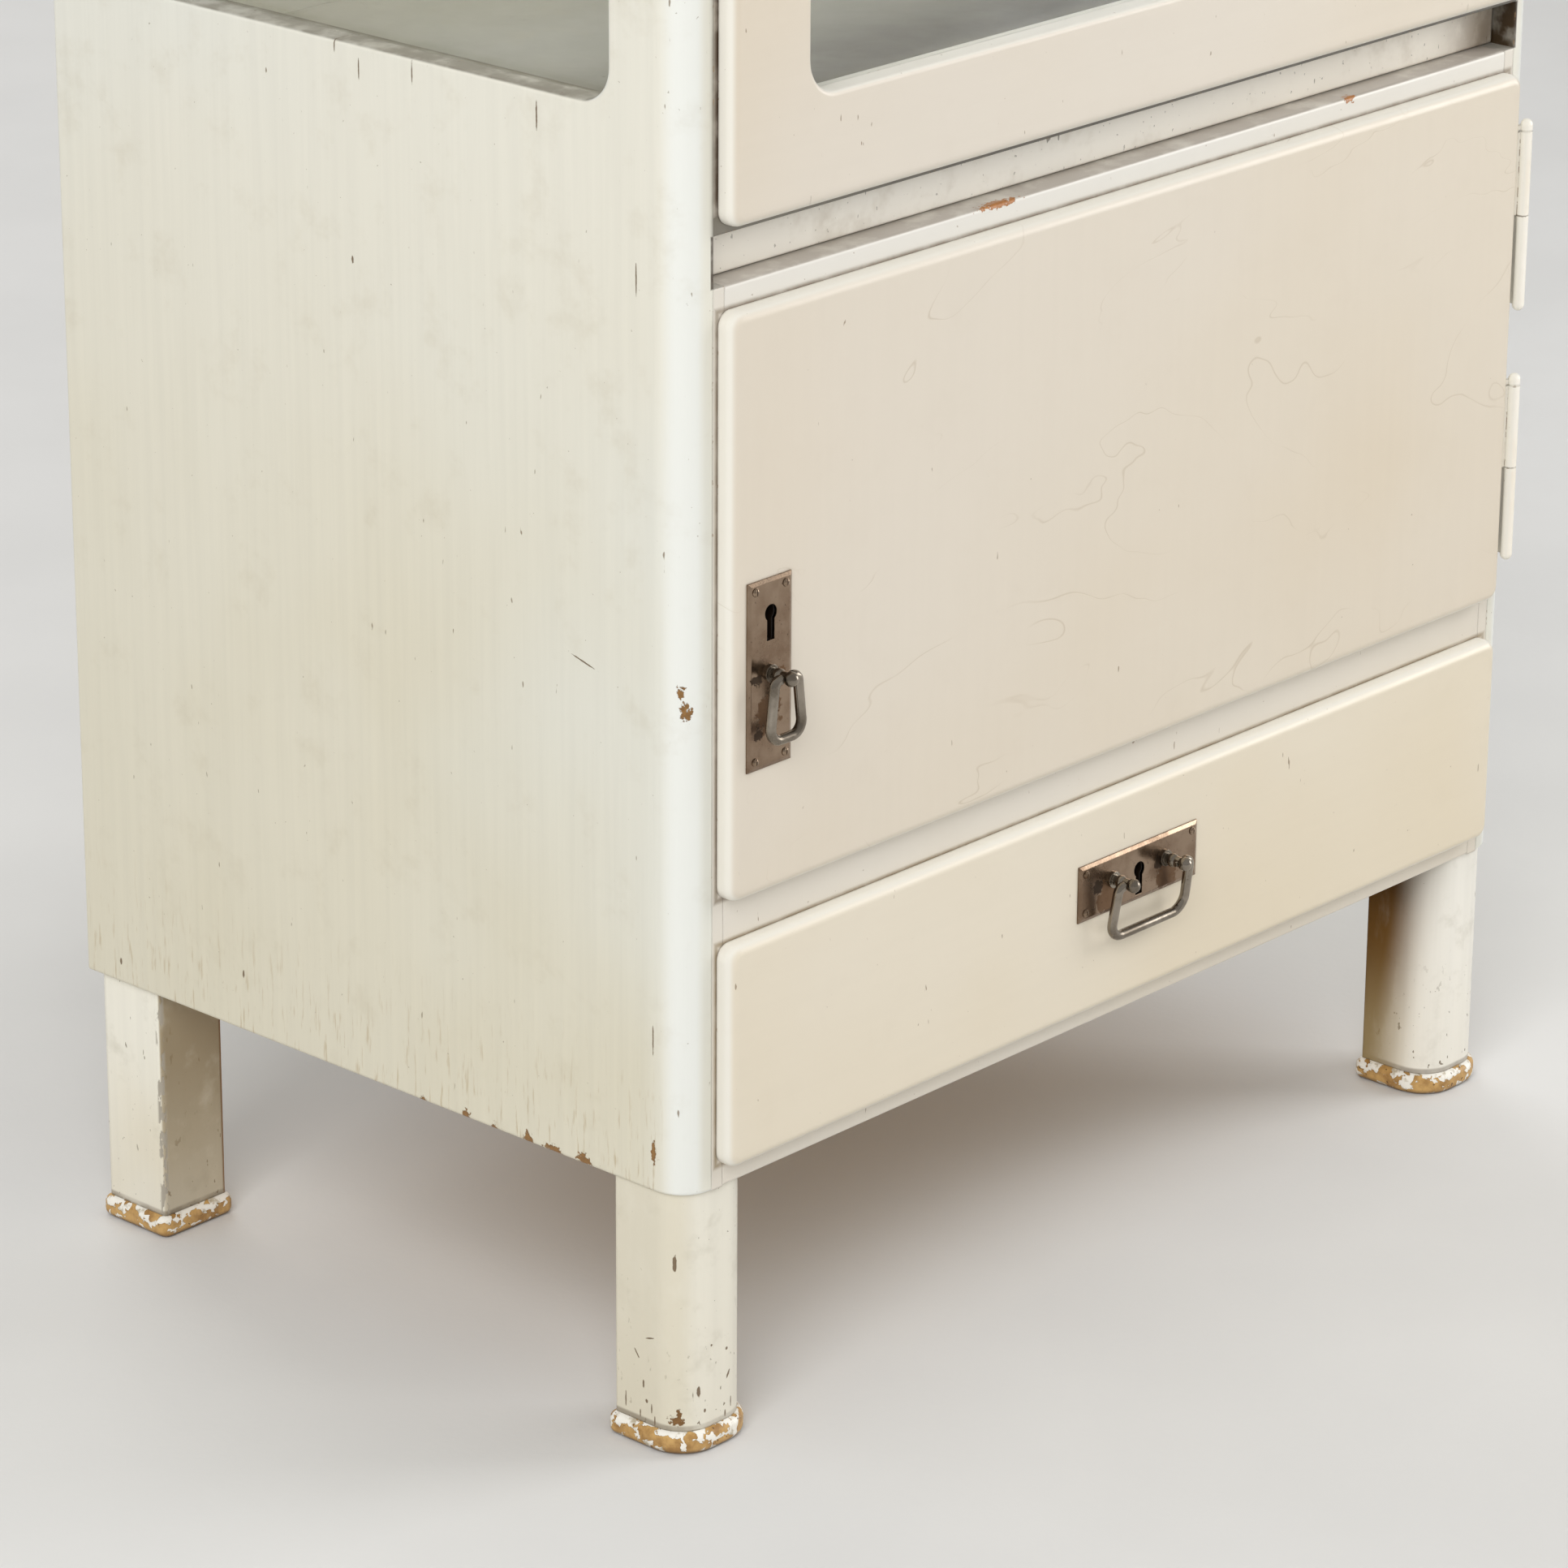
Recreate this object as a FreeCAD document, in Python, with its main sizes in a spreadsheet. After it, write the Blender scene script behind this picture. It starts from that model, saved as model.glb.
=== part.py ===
import FreeCAD, Part
import math
import os
import re
import Sketcher

# A painted wooden medical cabinet: glazed compartment, pull-out board, cupboard and drawer on four legs.
# Millimetres. X to the right, Y to the back, Z up. The origin lies on the floor,
# in the middle of the whole depth and width.

doc = FreeCAD.newDocument("MedicalCabinet")

sizes = {
    # carcass boards
    "carcass_width": 600,
    "carcass_depth": 393,
    "side_thickness": 18,
    "side_front_radius": 17,
    "side_edge_radius": 1.5,
    "strip_width": 7,
    "strip_depth": 30,
    "rail_edge_radius": 1.5,
    "board_thickness": 12,
    "housing_depth": 6,
    "back_thickness": 8,
    "back_rabbet": 9,
    # heights, from the floor upwards
    "foot_height": 11,
    "leg_height": 117,
    "bottom_rail_height": 15.5,
    "drawer_opening_height": 96.5,
    "drawer_rail_height": 30,
    "lower_opening_height": 258,
    "ledge_rail_height": 15,
    "tray_slot_height": 23,
    "upper_floor_thickness": 8,
    "upper_opening_height": 934,
    "top_rail_height": 30,
    # top board
    "top_thickness": 22,
    "top_overhang": 8,
    "top_corner_radius": 24,
    "top_edge_radius": 8,
    # legs and foot pads
    "front_leg_width": 45.4,
    "front_leg_depth": 42.7,
    "front_leg_inset": 1.8,
    "rear_leg_width": 40,
    "rear_leg_inset": 3,
    "rear_leg_setback": 7,
    "leg_corner_radius": 17,
    "leg_edge_radius": 2,
    "dowel_radius": 5,
    "dowel_length": 11,
    "dowel_inset": 6.5,
    "dowel_clearance": 0.05,
    "foot_flare": 3,
    "foot_corner_radius": 5,
    "foot_edge_radius": 4,
    # windows
    "window_front": 44,
    "window_rear": 48,
    "window_sill": 43.5,
    "window_head": 43.5,
    "window_corner_radius": 16.5,
    "window_edge_radius": 2,
    "glass_thickness": 3,
    "glass_rebate": 8,
    "glass_clearance": 0.5,
    "side_glass_setback": 12,
    "door_glass_setback": 11,
    "bead_width": 7,
    "bead_thickness": 5,
    # glass shelves
    "shelf_thickness": 6,
    "shelf_end_gap": 9,
    "shelf_front_gap": 1,
    "shelf_back_gap": 6,
    "pin_radius": 2.5,
    "pin_depth": 10,
    "pin_reach": 16,
    "pin_clearance": 0.05,
    # lipped doors and drawer front
    "lip_thickness": 8.6,
    "lip_gap": 0.4,
    "lip_overlap": 4.5,
    "lip_corner_radius": 7,
    "lip_edge_radius": 4.5,
    "panel_depth": 12,
    "panel_clearance": 1,
    "door_stile_width": 48.5,
    "door_rail_width": 48,
    "tenon_length": 25,
    "tenon_thickness": 5,
    "tenon_setback": 6,
    "tenon_margin": 10,
    # drawer box
    "drawer_rear_gap": 18,
    "drawer_side_thickness": 10,
    "drawer_side_height": 82,
    "drawer_back_gap": 8,
    "drawer_bottom_thickness": 5,
    "drawer_bottom_rise": 7,
    "drawer_groove": 4,
    "slide_gap": 0.3,
    "guide_height": 20,
    "guide_clearance": 0.4,
    # pull-out board
    "tray_setback": 13,
    "tray_edge_depth": 18,
    "tray_edge_radius": 1.5,
    "tray_thickness": 21.5,
    "tray_rear_gap": 22,
    "tray_end_gap": 0.8,
    # barrel hinges
    "hinge_radius": 3,
    "hinge_half_length": 45,
    "hinge_split": 0.3,
    "hinge_low_distance": 22.5,
    "hinge_high_distance": 26,
    "hinge_offset": 4.1,
    "hinge_reach": 8.8,
    "hinge_pin_radius": 1.5,
    "hinge_pin_clearance": 0.05,
    "hinge_pin_rise": 38,
    "hinge_cap_height": 6,
    "hinge_groove_width": 0.7,
    "hinge_groove_depth": 0.4,
    "leaf_thickness": 1.4,
    "leaf_depth": 18,
    "leaf_setback": 1.6,
    # lock plates and their screws
    "plate_length": 86.5,
    "plate_width": 28,
    "plate_thickness": 1.5,
    "plate_bevel_width": 1.8,
    "plate_bevel_depth": 0.8,
    "plate_edge_distance": 9,
    "plate_drop": 31,
    "drawer_plate_rise": 9.5,
    "keyhole_radius": 3.8,
    "keyhole_slot_width": 4.8,
    "keyhole_drop": 12.5,
    "door_keyhole_rise": 27.5,
    "drawer_keyhole_rise": 1.3,
    "screw_inset": 4.4,
    "screw_head_radius": 2,
    "screw_head_height": 1.2,
    "screw_shank_radius": 1.1,
    "screw_length": 11,
    "screw_clearance": 0.05,
    "screw_slot_width": 0.6,
    "screw_slot_depth": 0.7,
    # drop rings, bail and their posts
    "flange_radius": 4,
    "flange_thickness": 1.2,
    "neck_ball_radius": 3.3,
    "neck_ball_place": 4.8,
    "eye_radius": 2.5,
    "pivot_reach": 9.2,
    "end_ball_place": 12.1,
    "end_ball_radius": 3.4,
    "wire_radius": 2.35,
    "pivot_pin_radius": 1.2,
    "pivot_clearance": 0.06,
    "shoulder_gap": 0.5,
    "ring_top_half_width": 7.2,
    "ring_flare": 3.3,
    "ring_drop": 27.5,
    "ring_shoulder_radius": 3.2,
    "ring_corner_radius": 6,
    "bail_reach": 7,
    "bail_flare": 1,
    "bail_drop": 26.7,
    "bail_inset": 4,
    "bail_shoulder_radius": 3,
    "bail_corner_radius": 8,
    "post_half_spacing": 19,
    "drawer_pull_rise": 1.7,
    # locks
    "lock_case_length": 50,
    "lock_case_width": 33,
    "lock_case_depth": 10,
    "lock_edge_gap": 1.5,
    "lock_recess": 6,
    "drawer_lock_height": 46,
    "bolt_length": 22,
    "bolt_width": 12,
    "bolt_thickness": 4,
    "bolt_rise": 14,
    "bolt_travel": 8,
    "bolt_clearance": 0.3,
    "mortise_room": 0.5,
    # how far a cutting shape runs past what it cuts
    "overrun": 5,
}

# The shelves part the glazed compartment evenly.
shelf_names = ("lower", "middle", "upper")

places = {
    "half_width": "carcass_width / 2",
    "inner_half": "half_width - side_thickness",
    "opening_half": "inner_half - strip_width",
    "lip_half": "opening_half + lip_overlap",
    "panel_half": "opening_half - panel_clearance",
    "post_length": "end_ball_place + end_ball_radius",
    "front_reach": "lip_gap + lip_thickness + plate_thickness + post_length",
    "front_plane": "(front_reach - carcass_depth) / 2",
    "rear_plane": "front_plane + carcass_depth",
    "back_front": "rear_plane - back_thickness",
    "board_front": "front_plane + strip_depth",
    "lip_back": "front_plane - lip_gap",
    "lip_face": "lip_back - lip_thickness",
    "plate_face": "lip_face - plate_thickness",
    "plate_rim": "plate_thickness - plate_bevel_depth",
    "pivot_y": "plate_face - pivot_reach",
    "pull_shoulder": "end_ball_radius + shoulder_gap",
    "ring_half_width": "ring_top_half_width + ring_flare",
    "bail_top_half_width": "post_half_spacing + bail_reach",
    "bail_half_width": "bail_top_half_width + bail_flare",
    "panel_back": "front_plane + panel_depth",
    "carcass_floor": "foot_height + leg_height",
    "drawer_low": "carcass_floor + bottom_rail_height",
    "drawer_high": "drawer_low + drawer_opening_height",
    "lower_low": "drawer_high + drawer_rail_height",
    "lower_high": "lower_low + lower_opening_height",
    "ledge_top": "lower_high + ledge_rail_height",
    "floor_low": "ledge_top + tray_slot_height",
    "upper_low": "floor_low + upper_floor_thickness",
    "upper_high": "upper_low + upper_opening_height",
    "carcass_top": "upper_high + top_rail_height",
    "window_low": "upper_low + window_sill",
    "window_high": "upper_high - window_head",
    "door_window_half": "lip_half - door_stile_width",
    "door_plate_x": "plate_edge_distance + plate_width / 2 - lip_half",
    "lower_plate_z": "(lower_low + lower_high) / 2 - plate_drop",
    "upper_plate_z": "(upper_low + upper_high) / 2 - plate_drop",
    "drawer_plate_z": "(drawer_low + drawer_high) / 2 + drawer_plate_rise",
    "hinge_x": "lip_half + hinge_offset",
    "hinge_y": "front_plane - hinge_reach",
    "hinge_length": "2 * hinge_half_length + hinge_split",
    "door_leaf_y": "hinge_y + leaf_setback",
    "lock_left": "lock_edge_gap - panel_half",
    "drawer_lock_top": "drawer_high - panel_clearance - lock_edge_gap",
    "bolt_y": "panel_back + (lock_case_depth - bolt_thickness) / 2",
    "mortise_depth": "bolt_travel - lock_edge_gap - panel_clearance + mortise_room",
    "tray_front": "front_plane + tray_setback",
    "tray_low": "ledge_top + slide_gap",
    "tray_length": "back_front - tray_rear_gap - tray_front",
    "drawer_length": "back_front - drawer_rear_gap - panel_back",
}

sheet = doc.addObject("Spreadsheet::Sheet", "Sizes")
for row, (alias, size) in enumerate(sizes.items(), start=1):
    sheet.set(f"A{row}", alias)
    sheet.set(f"B{row}", str(size))
    sheet.setAlias(f"B{row}", alias)


# An expression written in plain names, with each name's sheet put in front of it.
def spelled(text):
    def with_sheet(match):
        word = match.group()
        if word in sizes:
            return "Sizes." + word
        if word in places:
            return "Places." + word
        return word

    return re.sub(r"[a-z_]+", with_sheet, text)


place_sheet = doc.addObject("Spreadsheet::Sheet", "Places")
for row, (alias, formula) in enumerate(places.items(), start=1):
    place_sheet.set(f"A{row}", alias)
    place_sheet.setAlias(f"B{row}", alias)
    place_sheet.set(f"B{row}", "=" + spelled(formula))
doc.recompute()

subparts = []


def measure(text):
    return float(sheet.evalExpression(spelled(text)))


def bind(thing, setting, text):
    thing.setExpression(setting, spelled(text))


def move_to(thing, x, y, z):
    for axis, text in zip("xyz", (x, y, z)):
        bind(thing, f"Placement.Base.{axis}", text)
    return thing


# A finished sub-part gets the name that its file has.
def keep(thing, label):
    thing.Label = label
    subparts.append(thing)
    return thing


# Solids from primitives and booleans.
def box(x, y, z, length, width, height):
    block = doc.addObject("Part::Box", "Block")
    bind(block, "Length", length)
    bind(block, "Width", width)
    bind(block, "Height", height)
    return move_to(block, x, y, z)


along_x = FreeCAD.Rotation(FreeCAD.Vector(0, 1, 0), 90)
along_z = FreeCAD.Rotation()
to_front = FreeCAD.Rotation(FreeCAD.Vector(1, 0, 0), 90)
to_back = FreeCAD.Rotation(FreeCAD.Vector(1, 0, 0), -90)


def rod(x, y, z, radius, length, turn):
    cylinder = doc.addObject("Part::Cylinder", "Rod")
    cylinder.Placement.Rotation = turn
    bind(cylinder, "Radius", radius)
    bind(cylinder, "Height", length)
    return move_to(cylinder, x, y, z)


def ball(x, y, z, radius):
    sphere = doc.addObject("Part::Sphere", "Ball")
    bind(sphere, "Radius", radius)
    return move_to(sphere, x, y, z)


def fused(*pieces):
    union = doc.addObject("Part::MultiFuse", "Union")
    union.Shapes = list(pieces)
    return union


def grouped(*pieces):
    group = doc.addObject("Part::Compound", "Group")
    group.Links = list(pieces)
    return group


def cut(base, *tools):
    difference = doc.addObject("Part::Cut", "Difference")
    difference.Base = base
    difference.Tool = tools[0] if len(tools) == 1 else fused(*tools)
    return difference


def overlap(base, tool):
    shared = doc.addObject("Part::Common", "Shared")
    shared.Base = base
    shared.Tool = tool
    return shared


def mirrored(source):
    image = doc.addObject("Part::Mirroring", "Image")
    image.Source = source
    image.Normal = FreeCAD.Vector(1, 0, 0)
    return image


# Bodies with sketches.
def new_body(x, y, z):
    body = doc.addObject("PartDesign::Body", "Body")
    return move_to(body, x, y, z)


def sketch_on(body, role, depth="0"):
    sketch = body.newObject("Sketcher::SketchObject", "Sketch")
    plane = next(item for item in body.Origin.OriginFeatures if item.Role == role)
    sketch.AttachmentSupport = [(plane, "")]
    sketch.MapMode = "FlatFace"
    bind(sketch, "AttachmentOffset.Base.z", depth)
    return sketch


def constrain(sketch, text, *constraint):
    index = sketch.addConstraint(Sketcher.Constraint(*constraint, measure(text)))
    sketch.setExpression(f"Constraints[{index}]", spelled(text))


# A run of straight lines. Each corner is x, y and the radius that rounds it, or None.
def outline(sketch, corners, closed=True):
    points = [FreeCAD.Vector(measure(x), measure(y), 0) for x, y, radius in corners]
    radii = [measure(radius) if radius else 0 for x, y, radius in corners]
    count = len(corners)
    line_count = count if closed else count - 1
    ways = [(points[(start + 1) % count] - points[start]).normalize() for start in range(line_count)]

    def half_turn(corner):
        return ways[corner - 1].getAngle(ways[corner]) / 2

    def setback(corner):
        return radii[corner] * math.tan(half_turn(corner)) if radii[corner] else 0

    lines = []
    for start, way in enumerate(ways):
        end = (start + 1) % count
        first = points[start] + way * setback(start)
        last = points[end] - way * setback(end)
        line = sketch.addGeometry(Part.LineSegment(first, last))
        lines.append((line, way, first, last))
        x, y, radius = corners[start]
        if near(way.y, 0):
            sketch.addConstraint(Sketcher.Constraint("Horizontal", line))
            constrain(sketch, y, "DistanceY", -1, 1, line, 1)
        elif near(way.x, 0):
            sketch.addConstraint(Sketcher.Constraint("Vertical", line))
            constrain(sketch, x, "DistanceX", -1, 1, line, 1)
        else:
            for corner in (start, end):
                x, y, radius = corners[corner]
                mark = sketch.addGeometry(Part.Point(points[corner]), True)
                constrain(sketch, x, "DistanceX", -1, 1, mark, 1)
                constrain(sketch, y, "DistanceY", -1, 1, mark, 1)
                sketch.addConstraint(Sketcher.Constraint("PointOnObject", mark, 1, line))
    for corner in range(0 if closed else 1, count if closed else count - 1):
        before, way_in, unused, arrival = lines[corner - 1]
        after, way_out, departure, unused = lines[corner]
        radius = corners[corner][2]
        if not radius:
            sketch.addConstraint(Sketcher.Constraint("Coincident", before, 2, after, 1))
            continue
        inwards = (way_out - way_in).normalize()
        centre = points[corner] + inwards * (radii[corner] / math.cos(half_turn(corner)))
        turns_left = way_in.cross(way_out).z > 0
        ends = (arrival, departure) if turns_left else (departure, arrival)
        angles = [math.atan2(end.y - centre.y, end.x - centre.x) for end in ends]
        circle = Part.Circle(centre, FreeCAD.Vector(0, 0, 1), radii[corner])
        arc = sketch.addGeometry(Part.ArcOfCircle(circle, *angles))
        meets_before, meets_after = (1, 2) if turns_left else (2, 1)
        sketch.addConstraint(Sketcher.Constraint("Tangent", before, 2, arc, meets_before))
        sketch.addConstraint(Sketcher.Constraint("Tangent", after, 1, arc, meets_after))
        constrain(sketch, radius, "Radius", arc)
    loose_ends = () if closed else ((lines[0], 1, corners[0]), (lines[-1], 2, corners[-1]))
    for (line, way, first, last), end, (x, y, radius) in loose_ends:
        if near(way.y, 0):
            constrain(sketch, x, "DistanceX", -1, 1, line, end)
        else:
            constrain(sketch, y, "DistanceY", -1, 1, line, end)
    return sketch


def rectangle(sketch, left, low, right, high, radius=None):
    corners = [(left, low, radius), (right, low, radius), (right, high, radius), (left, high, radius)]
    return outline(sketch, corners)


def circle(sketch, x, y, radius):
    centre = FreeCAD.Vector(measure(x), measure(y), 0)
    ring = sketch.addGeometry(Part.Circle(centre, FreeCAD.Vector(0, 0, 1), measure(radius)))
    constrain(sketch, x, "DistanceX", -1, 1, ring, 3)
    constrain(sketch, y, "DistanceY", -1, 1, ring, 3)
    constrain(sketch, radius, "Radius", ring)
    return sketch


def pad(body, sketch, length, backwards=False, both_ways=False):
    feature = body.newObject("PartDesign::Pad", "Pad")
    feature.Profile = sketch
    feature.Reversed = backwards
    if both_ways:
        feature.SideType = "Symmetric"
    bind(feature, "Length", length)
    return feature


# With no depth the pocket runs right through.
def pocket(body, sketch, depth=None, backwards=False, both_ways=False):
    feature = body.newObject("PartDesign::Pocket", "Pocket")
    feature.Profile = sketch
    feature.Reversed = backwards
    if both_ways:
        feature.SideType = "Symmetric"
    if depth:
        bind(feature, "Length", depth)
    else:
        feature.Type = "ThroughAll"
    return feature


def round_edges(body, radius, wanted):
    doc.recompute()
    base = body.Tip
    edges = enumerate(base.Shape.Edges, start=1)
    names = [f"Edge{number}" for number, edge in edges if wanted(edge.BoundBox)]
    feature = body.newObject("PartDesign::Fillet", "Rounding")
    feature.Base = (base, names)
    bind(feature, "Radius", radius)
    return feature


edge_tolerance = 1e-4


def near(a, b):
    return math.isclose(a, b, abs_tol=edge_tolerance)


# Side boards: quarter-round front edge, window with a rebate for the glass, housings for the boards.
housed_boards = (
    ("carcass_floor", "drawer_low"),
    ("lower_low - board_thickness", "lower_low"),
    ("ledge_top - board_thickness", "ledge_top"),
    ("floor_low", "upper_low"),
)
pin_places = ("(strip_depth + window_front - glass_rebate) / 2",
              "carcass_depth - (back_thickness + window_rear - glass_rebate) / 2")


def shelf_height(number):
    return f"upper_low + upper_opening_height * {number} / {len(shelf_names) + 1}"


def side_panel():
    body = new_body("-half_width", "front_plane", "carcass_floor")
    section = sketch_on(body, "XY_Plane")
    rabbet = "side_thickness - back_rabbet"
    back = "carcass_depth - back_thickness"
    outline(section, [("0", "0", "side_front_radius"), ("side_thickness", "0", None),
                      ("side_thickness", back, None), (rabbet, back, None),
                      (rabbet, "carcass_depth", None), ("0", "carcass_depth", "side_edge_radius")])
    pad(body, section, "carcass_top - carcass_floor")
    round_edges(body, "side_edge_radius", lambda edge: near(edge.ZMax, 0) and near(edge.XMin, 0)
                and edge.YLength > measure("side_edge_radius + overrun"))
    window = sketch_on(body, "YZ_Plane")
    rear = "carcass_depth - window_rear"
    low = "window_low - carcass_floor"
    high = "window_high - carcass_floor"
    rectangle(window, "window_front", low, rear, high, "window_corner_radius")
    pocket(body, window, both_ways=True)
    round_edges(body, "window_edge_radius", lambda edge: near(edge.XMax, 0)
                and edge.YMin > measure("window_front - glass_clearance")
                and edge.ZMin > measure(low + " - glass_clearance"))
    rebate = sketch_on(body, "YZ_Plane", "side_glass_setback")
    rectangle(rebate, "window_front - glass_rebate", low + " - glass_rebate",
              rear + " + glass_rebate", high + " + glass_rebate")
    pocket(body, rebate, backwards=True)
    housings = sketch_on(body, "YZ_Plane", "side_thickness - housing_depth")
    for board_low, board_high in housed_boards:
        housing_low = board_low + " - carcass_floor"
        housing_high = board_high + " - carcass_floor"
        rectangle(housings, "strip_depth", housing_low, back, housing_high)
    pocket(body, housings, backwards=True)
    holes = sketch_on(body, "YZ_Plane", "side_thickness - pin_depth")
    for number, shelf_name in enumerate(shelf_names, start=1):
        for place in pin_places:
            height = shelf_height(number) + " - carcass_floor"
            circle(holes, place, height, "pin_radius + pin_clearance")
    pocket(body, holes, backwards=True)
    return body


left_side = keep(side_panel(), "left_side_panel")


# Hinges: the frame's half below with the pin, the door's half above it, leaves let into the wood.
def hinge_heights(low, high, count):
    first = f"{low} - lip_overlap + hinge_low_distance"
    last = f"{high} + lip_overlap - hinge_high_distance - hinge_length"
    return [f"({first}) + (({last}) - ({first})) * {step} / {count - 1}" for step in range(count)]


lower_hinges = hinge_heights("lower_low", "lower_high", 2)
upper_hinges = hinge_heights("upper_low", "upper_high", 3)


def frame_leaf(low):
    return box("hinge_x - leaf_thickness / 2", "hinge_y", low, "leaf_thickness",
               "hinge_reach + leaf_depth", "hinge_half_length")


def door_leaf(low):
    start = f"{low} + hinge_half_length + hinge_split"
    return box("lip_half - leaf_depth", "door_leaf_y", start, "leaf_depth + hinge_offset",
               "leaf_thickness", "hinge_half_length")


def knuckle(low):
    return rod("hinge_x", "hinge_y", low, "hinge_radius", "hinge_half_length", along_z)


# The line under a hinge's cap.
def groove(height):
    start = f"{height} - hinge_groove_width / 2"
    outside = rod("hinge_x", "hinge_y", start, "hinge_radius + overrun", "hinge_groove_width", along_z)
    core_radius = "hinge_radius - hinge_groove_depth"
    core = rod("hinge_x", "hinge_y", start, core_radius, "hinge_groove_width", along_z)
    return cut(outside, core)


def frame_hinge(low):
    tip = ball("hinge_x", "hinge_y", low, "hinge_radius")
    pin_length = "hinge_split + hinge_pin_rise"
    pin = rod("hinge_x", "hinge_y", f"{low} + hinge_half_length", "hinge_pin_radius", pin_length, along_z)
    return fused(knuckle(low), tip, pin, frame_leaf(low))


def door_hinge(low):
    start = f"{low} + hinge_half_length + hinge_split"
    tip = ball("hinge_x", "hinge_y", f"{low} + hinge_length", "hinge_radius")
    bore_radius = "hinge_pin_radius + hinge_pin_clearance"
    bore_length = "overrun + hinge_pin_rise + hinge_split"
    bore = rod("hinge_x", "hinge_y", f"{start} - overrun", bore_radius, bore_length, along_z)
    line = groove(f"{low} + hinge_length + hinge_radius - hinge_cap_height")
    return cut(fused(knuckle(start), tip, door_leaf(low)), bore, line)


all_hinges = lower_hinges + upper_hinges
keep(cut(mirrored(left_side), *[frame_leaf(low) for low in all_hinges]), "right_side_panel")
keep(grouped(*[frame_hinge(low) for low in all_hinges]), "frame_hinges")
keep(grouped(*[door_hinge(low) for low in lower_hinges]), "lower_door_hinges")
keep(grouped(*[door_hinge(low) for low in upper_hinges]), "upper_door_hinges")


# Boards across the carcass, their ends in the housings.
def housed_board(low, height):
    half = "(inner_half + housing_depth)"
    return box("-" + half, "board_front", low, "2 * " + half, "back_front - board_front", height)


def dowel_holes():
    places = (("half_width - front_leg_inset - front_leg_width + dowel_inset",
               "front_plane + front_leg_inset + front_leg_depth - dowel_inset"),
              ("half_width - rear_leg_inset - rear_leg_width + dowel_inset",
               "rear_plane - rear_leg_setback - rear_leg_width / 2"))
    radius = "dowel_radius + dowel_clearance"
    return [rod(f"{side} * ({x})", y, "carcass_floor", radius, "dowel_length", along_z)
            for side in (-1, 1) for x, y in places]


keep(cut(housed_board("carcass_floor", "bottom_rail_height"), *dowel_holes()), "bottom_board")
keep(housed_board("lower_low - board_thickness", "board_thickness"), "dust_board")
keep(housed_board("ledge_top - board_thickness", "board_thickness"), "ledge_board")
floor_nose = box("-inner_half", "front_plane", "floor_low", "2 * inner_half", "strip_depth",
                 "upper_floor_thickness")
keep(fused(housed_board("floor_low", "upper_floor_thickness"), floor_nose), "upper_floor")
keep(box("-(inner_half + back_rabbet)", "back_front", "carcass_floor", "2 * (inner_half + back_rabbet)",
         "back_thickness", "carcass_top - carcass_floor"), "back_panel")


# Front rails with eased edges, and the thin strips beside them.
def rail(low, high, front="front_plane", depth="strip_depth", half="opening_half",
         radius="rail_edge_radius"):
    body = new_body("0", front, low)
    section = sketch_on(body, "YZ_Plane")
    top = f"{high} - ({low})"
    outline(section, [("0", "0", radius), (depth, "0", None), (depth, top, None), ("0", top, radius)])
    pad(body, section, f"2 * ({half})", both_ways=True)
    return body


def door_mortise(keyhole_z):
    return box("-opening_half - mortise_depth", "bolt_y - mortise_room",
               f"{keyhole_z} + bolt_rise - bolt_width / 2 - mortise_room", "mortise_depth + overrun",
               "bolt_thickness + 2 * mortise_room", "bolt_width + 2 * mortise_room")


def strip(low, high):
    return box("-inner_half", "front_plane", low, "strip_width", "strip_depth", f"{high} - ({low})")


drawer_mortise = box("-bolt_width / 2 - mortise_room", "bolt_y - mortise_room", "drawer_high - overrun",
                     "bolt_width + 2 * mortise_room", "bolt_thickness + 2 * mortise_room",
                     "mortise_depth + overrun")
lower_keyhole = "lower_plate_z + door_keyhole_rise"
upper_keyhole = "upper_plate_z + door_keyhole_rise"

keep(rail("carcass_floor", "drawer_low"), "bottom_rail")
keep(cut(rail("drawer_high", "lower_low"), drawer_mortise), "drawer_rail")
keep(rail("lower_high", "ledge_top"), "ledge_rail")
keep(rail("upper_high", "carcass_top"), "top_rail")
strip_spans = (("carcass_floor", "ledge_top"), ("upper_low", "carcass_top"))
right_strips = [mirrored(strip(low, high)) for low, high in strip_spans]
left_strips = [cut(strip(low, high), door_mortise(keyhole))
               for (low, high), keyhole in zip(strip_spans, (lower_keyhole, upper_keyhole))]
keep(grouped(*left_strips, *right_strips), "front_strips")


# Top board with a rounded edge at the front and sides.
def top_board():
    body = new_body("0", "front_plane", "carcass_top")
    plan = sketch_on(body, "XY_Plane")
    half = "half_width + top_overhang"
    left = f"-({half})"
    outline(plan, [(left, "-top_overhang", "top_corner_radius"),
                   (half, "-top_overhang", "top_corner_radius"),
                   (half, "carcass_depth", None), (left, "carcass_depth", None)])
    pad(body, plan, "top_thickness")
    rear = measure("carcass_depth")
    round_edges(body, "top_edge_radius", lambda edge: near(edge.ZLength, 0) and not near(edge.YMin, rear))
    return body


keep(top_board(), "top_board")


# Legs with a dowel on top, and the pads under them. The front ones are rounded towards the front.
def leg(inset, y, width, depth, corner_radius, dowel_y):
    body = new_body(f"{inset} - half_width", y, "foot_height")
    plan = sketch_on(body, "XY_Plane")
    outline(plan, [("0", "0", corner_radius), (width, "0", corner_radius),
                   (width, depth, "leg_edge_radius"), ("0", depth, "leg_edge_radius")])
    pad(body, plan, "leg_height")
    dowel_top = sketch_on(body, "XY_Plane", "leg_height")
    pad(body, circle(dowel_top, f"{width} - dowel_inset", dowel_y, "dowel_radius"), "dowel_length")
    return body


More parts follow.
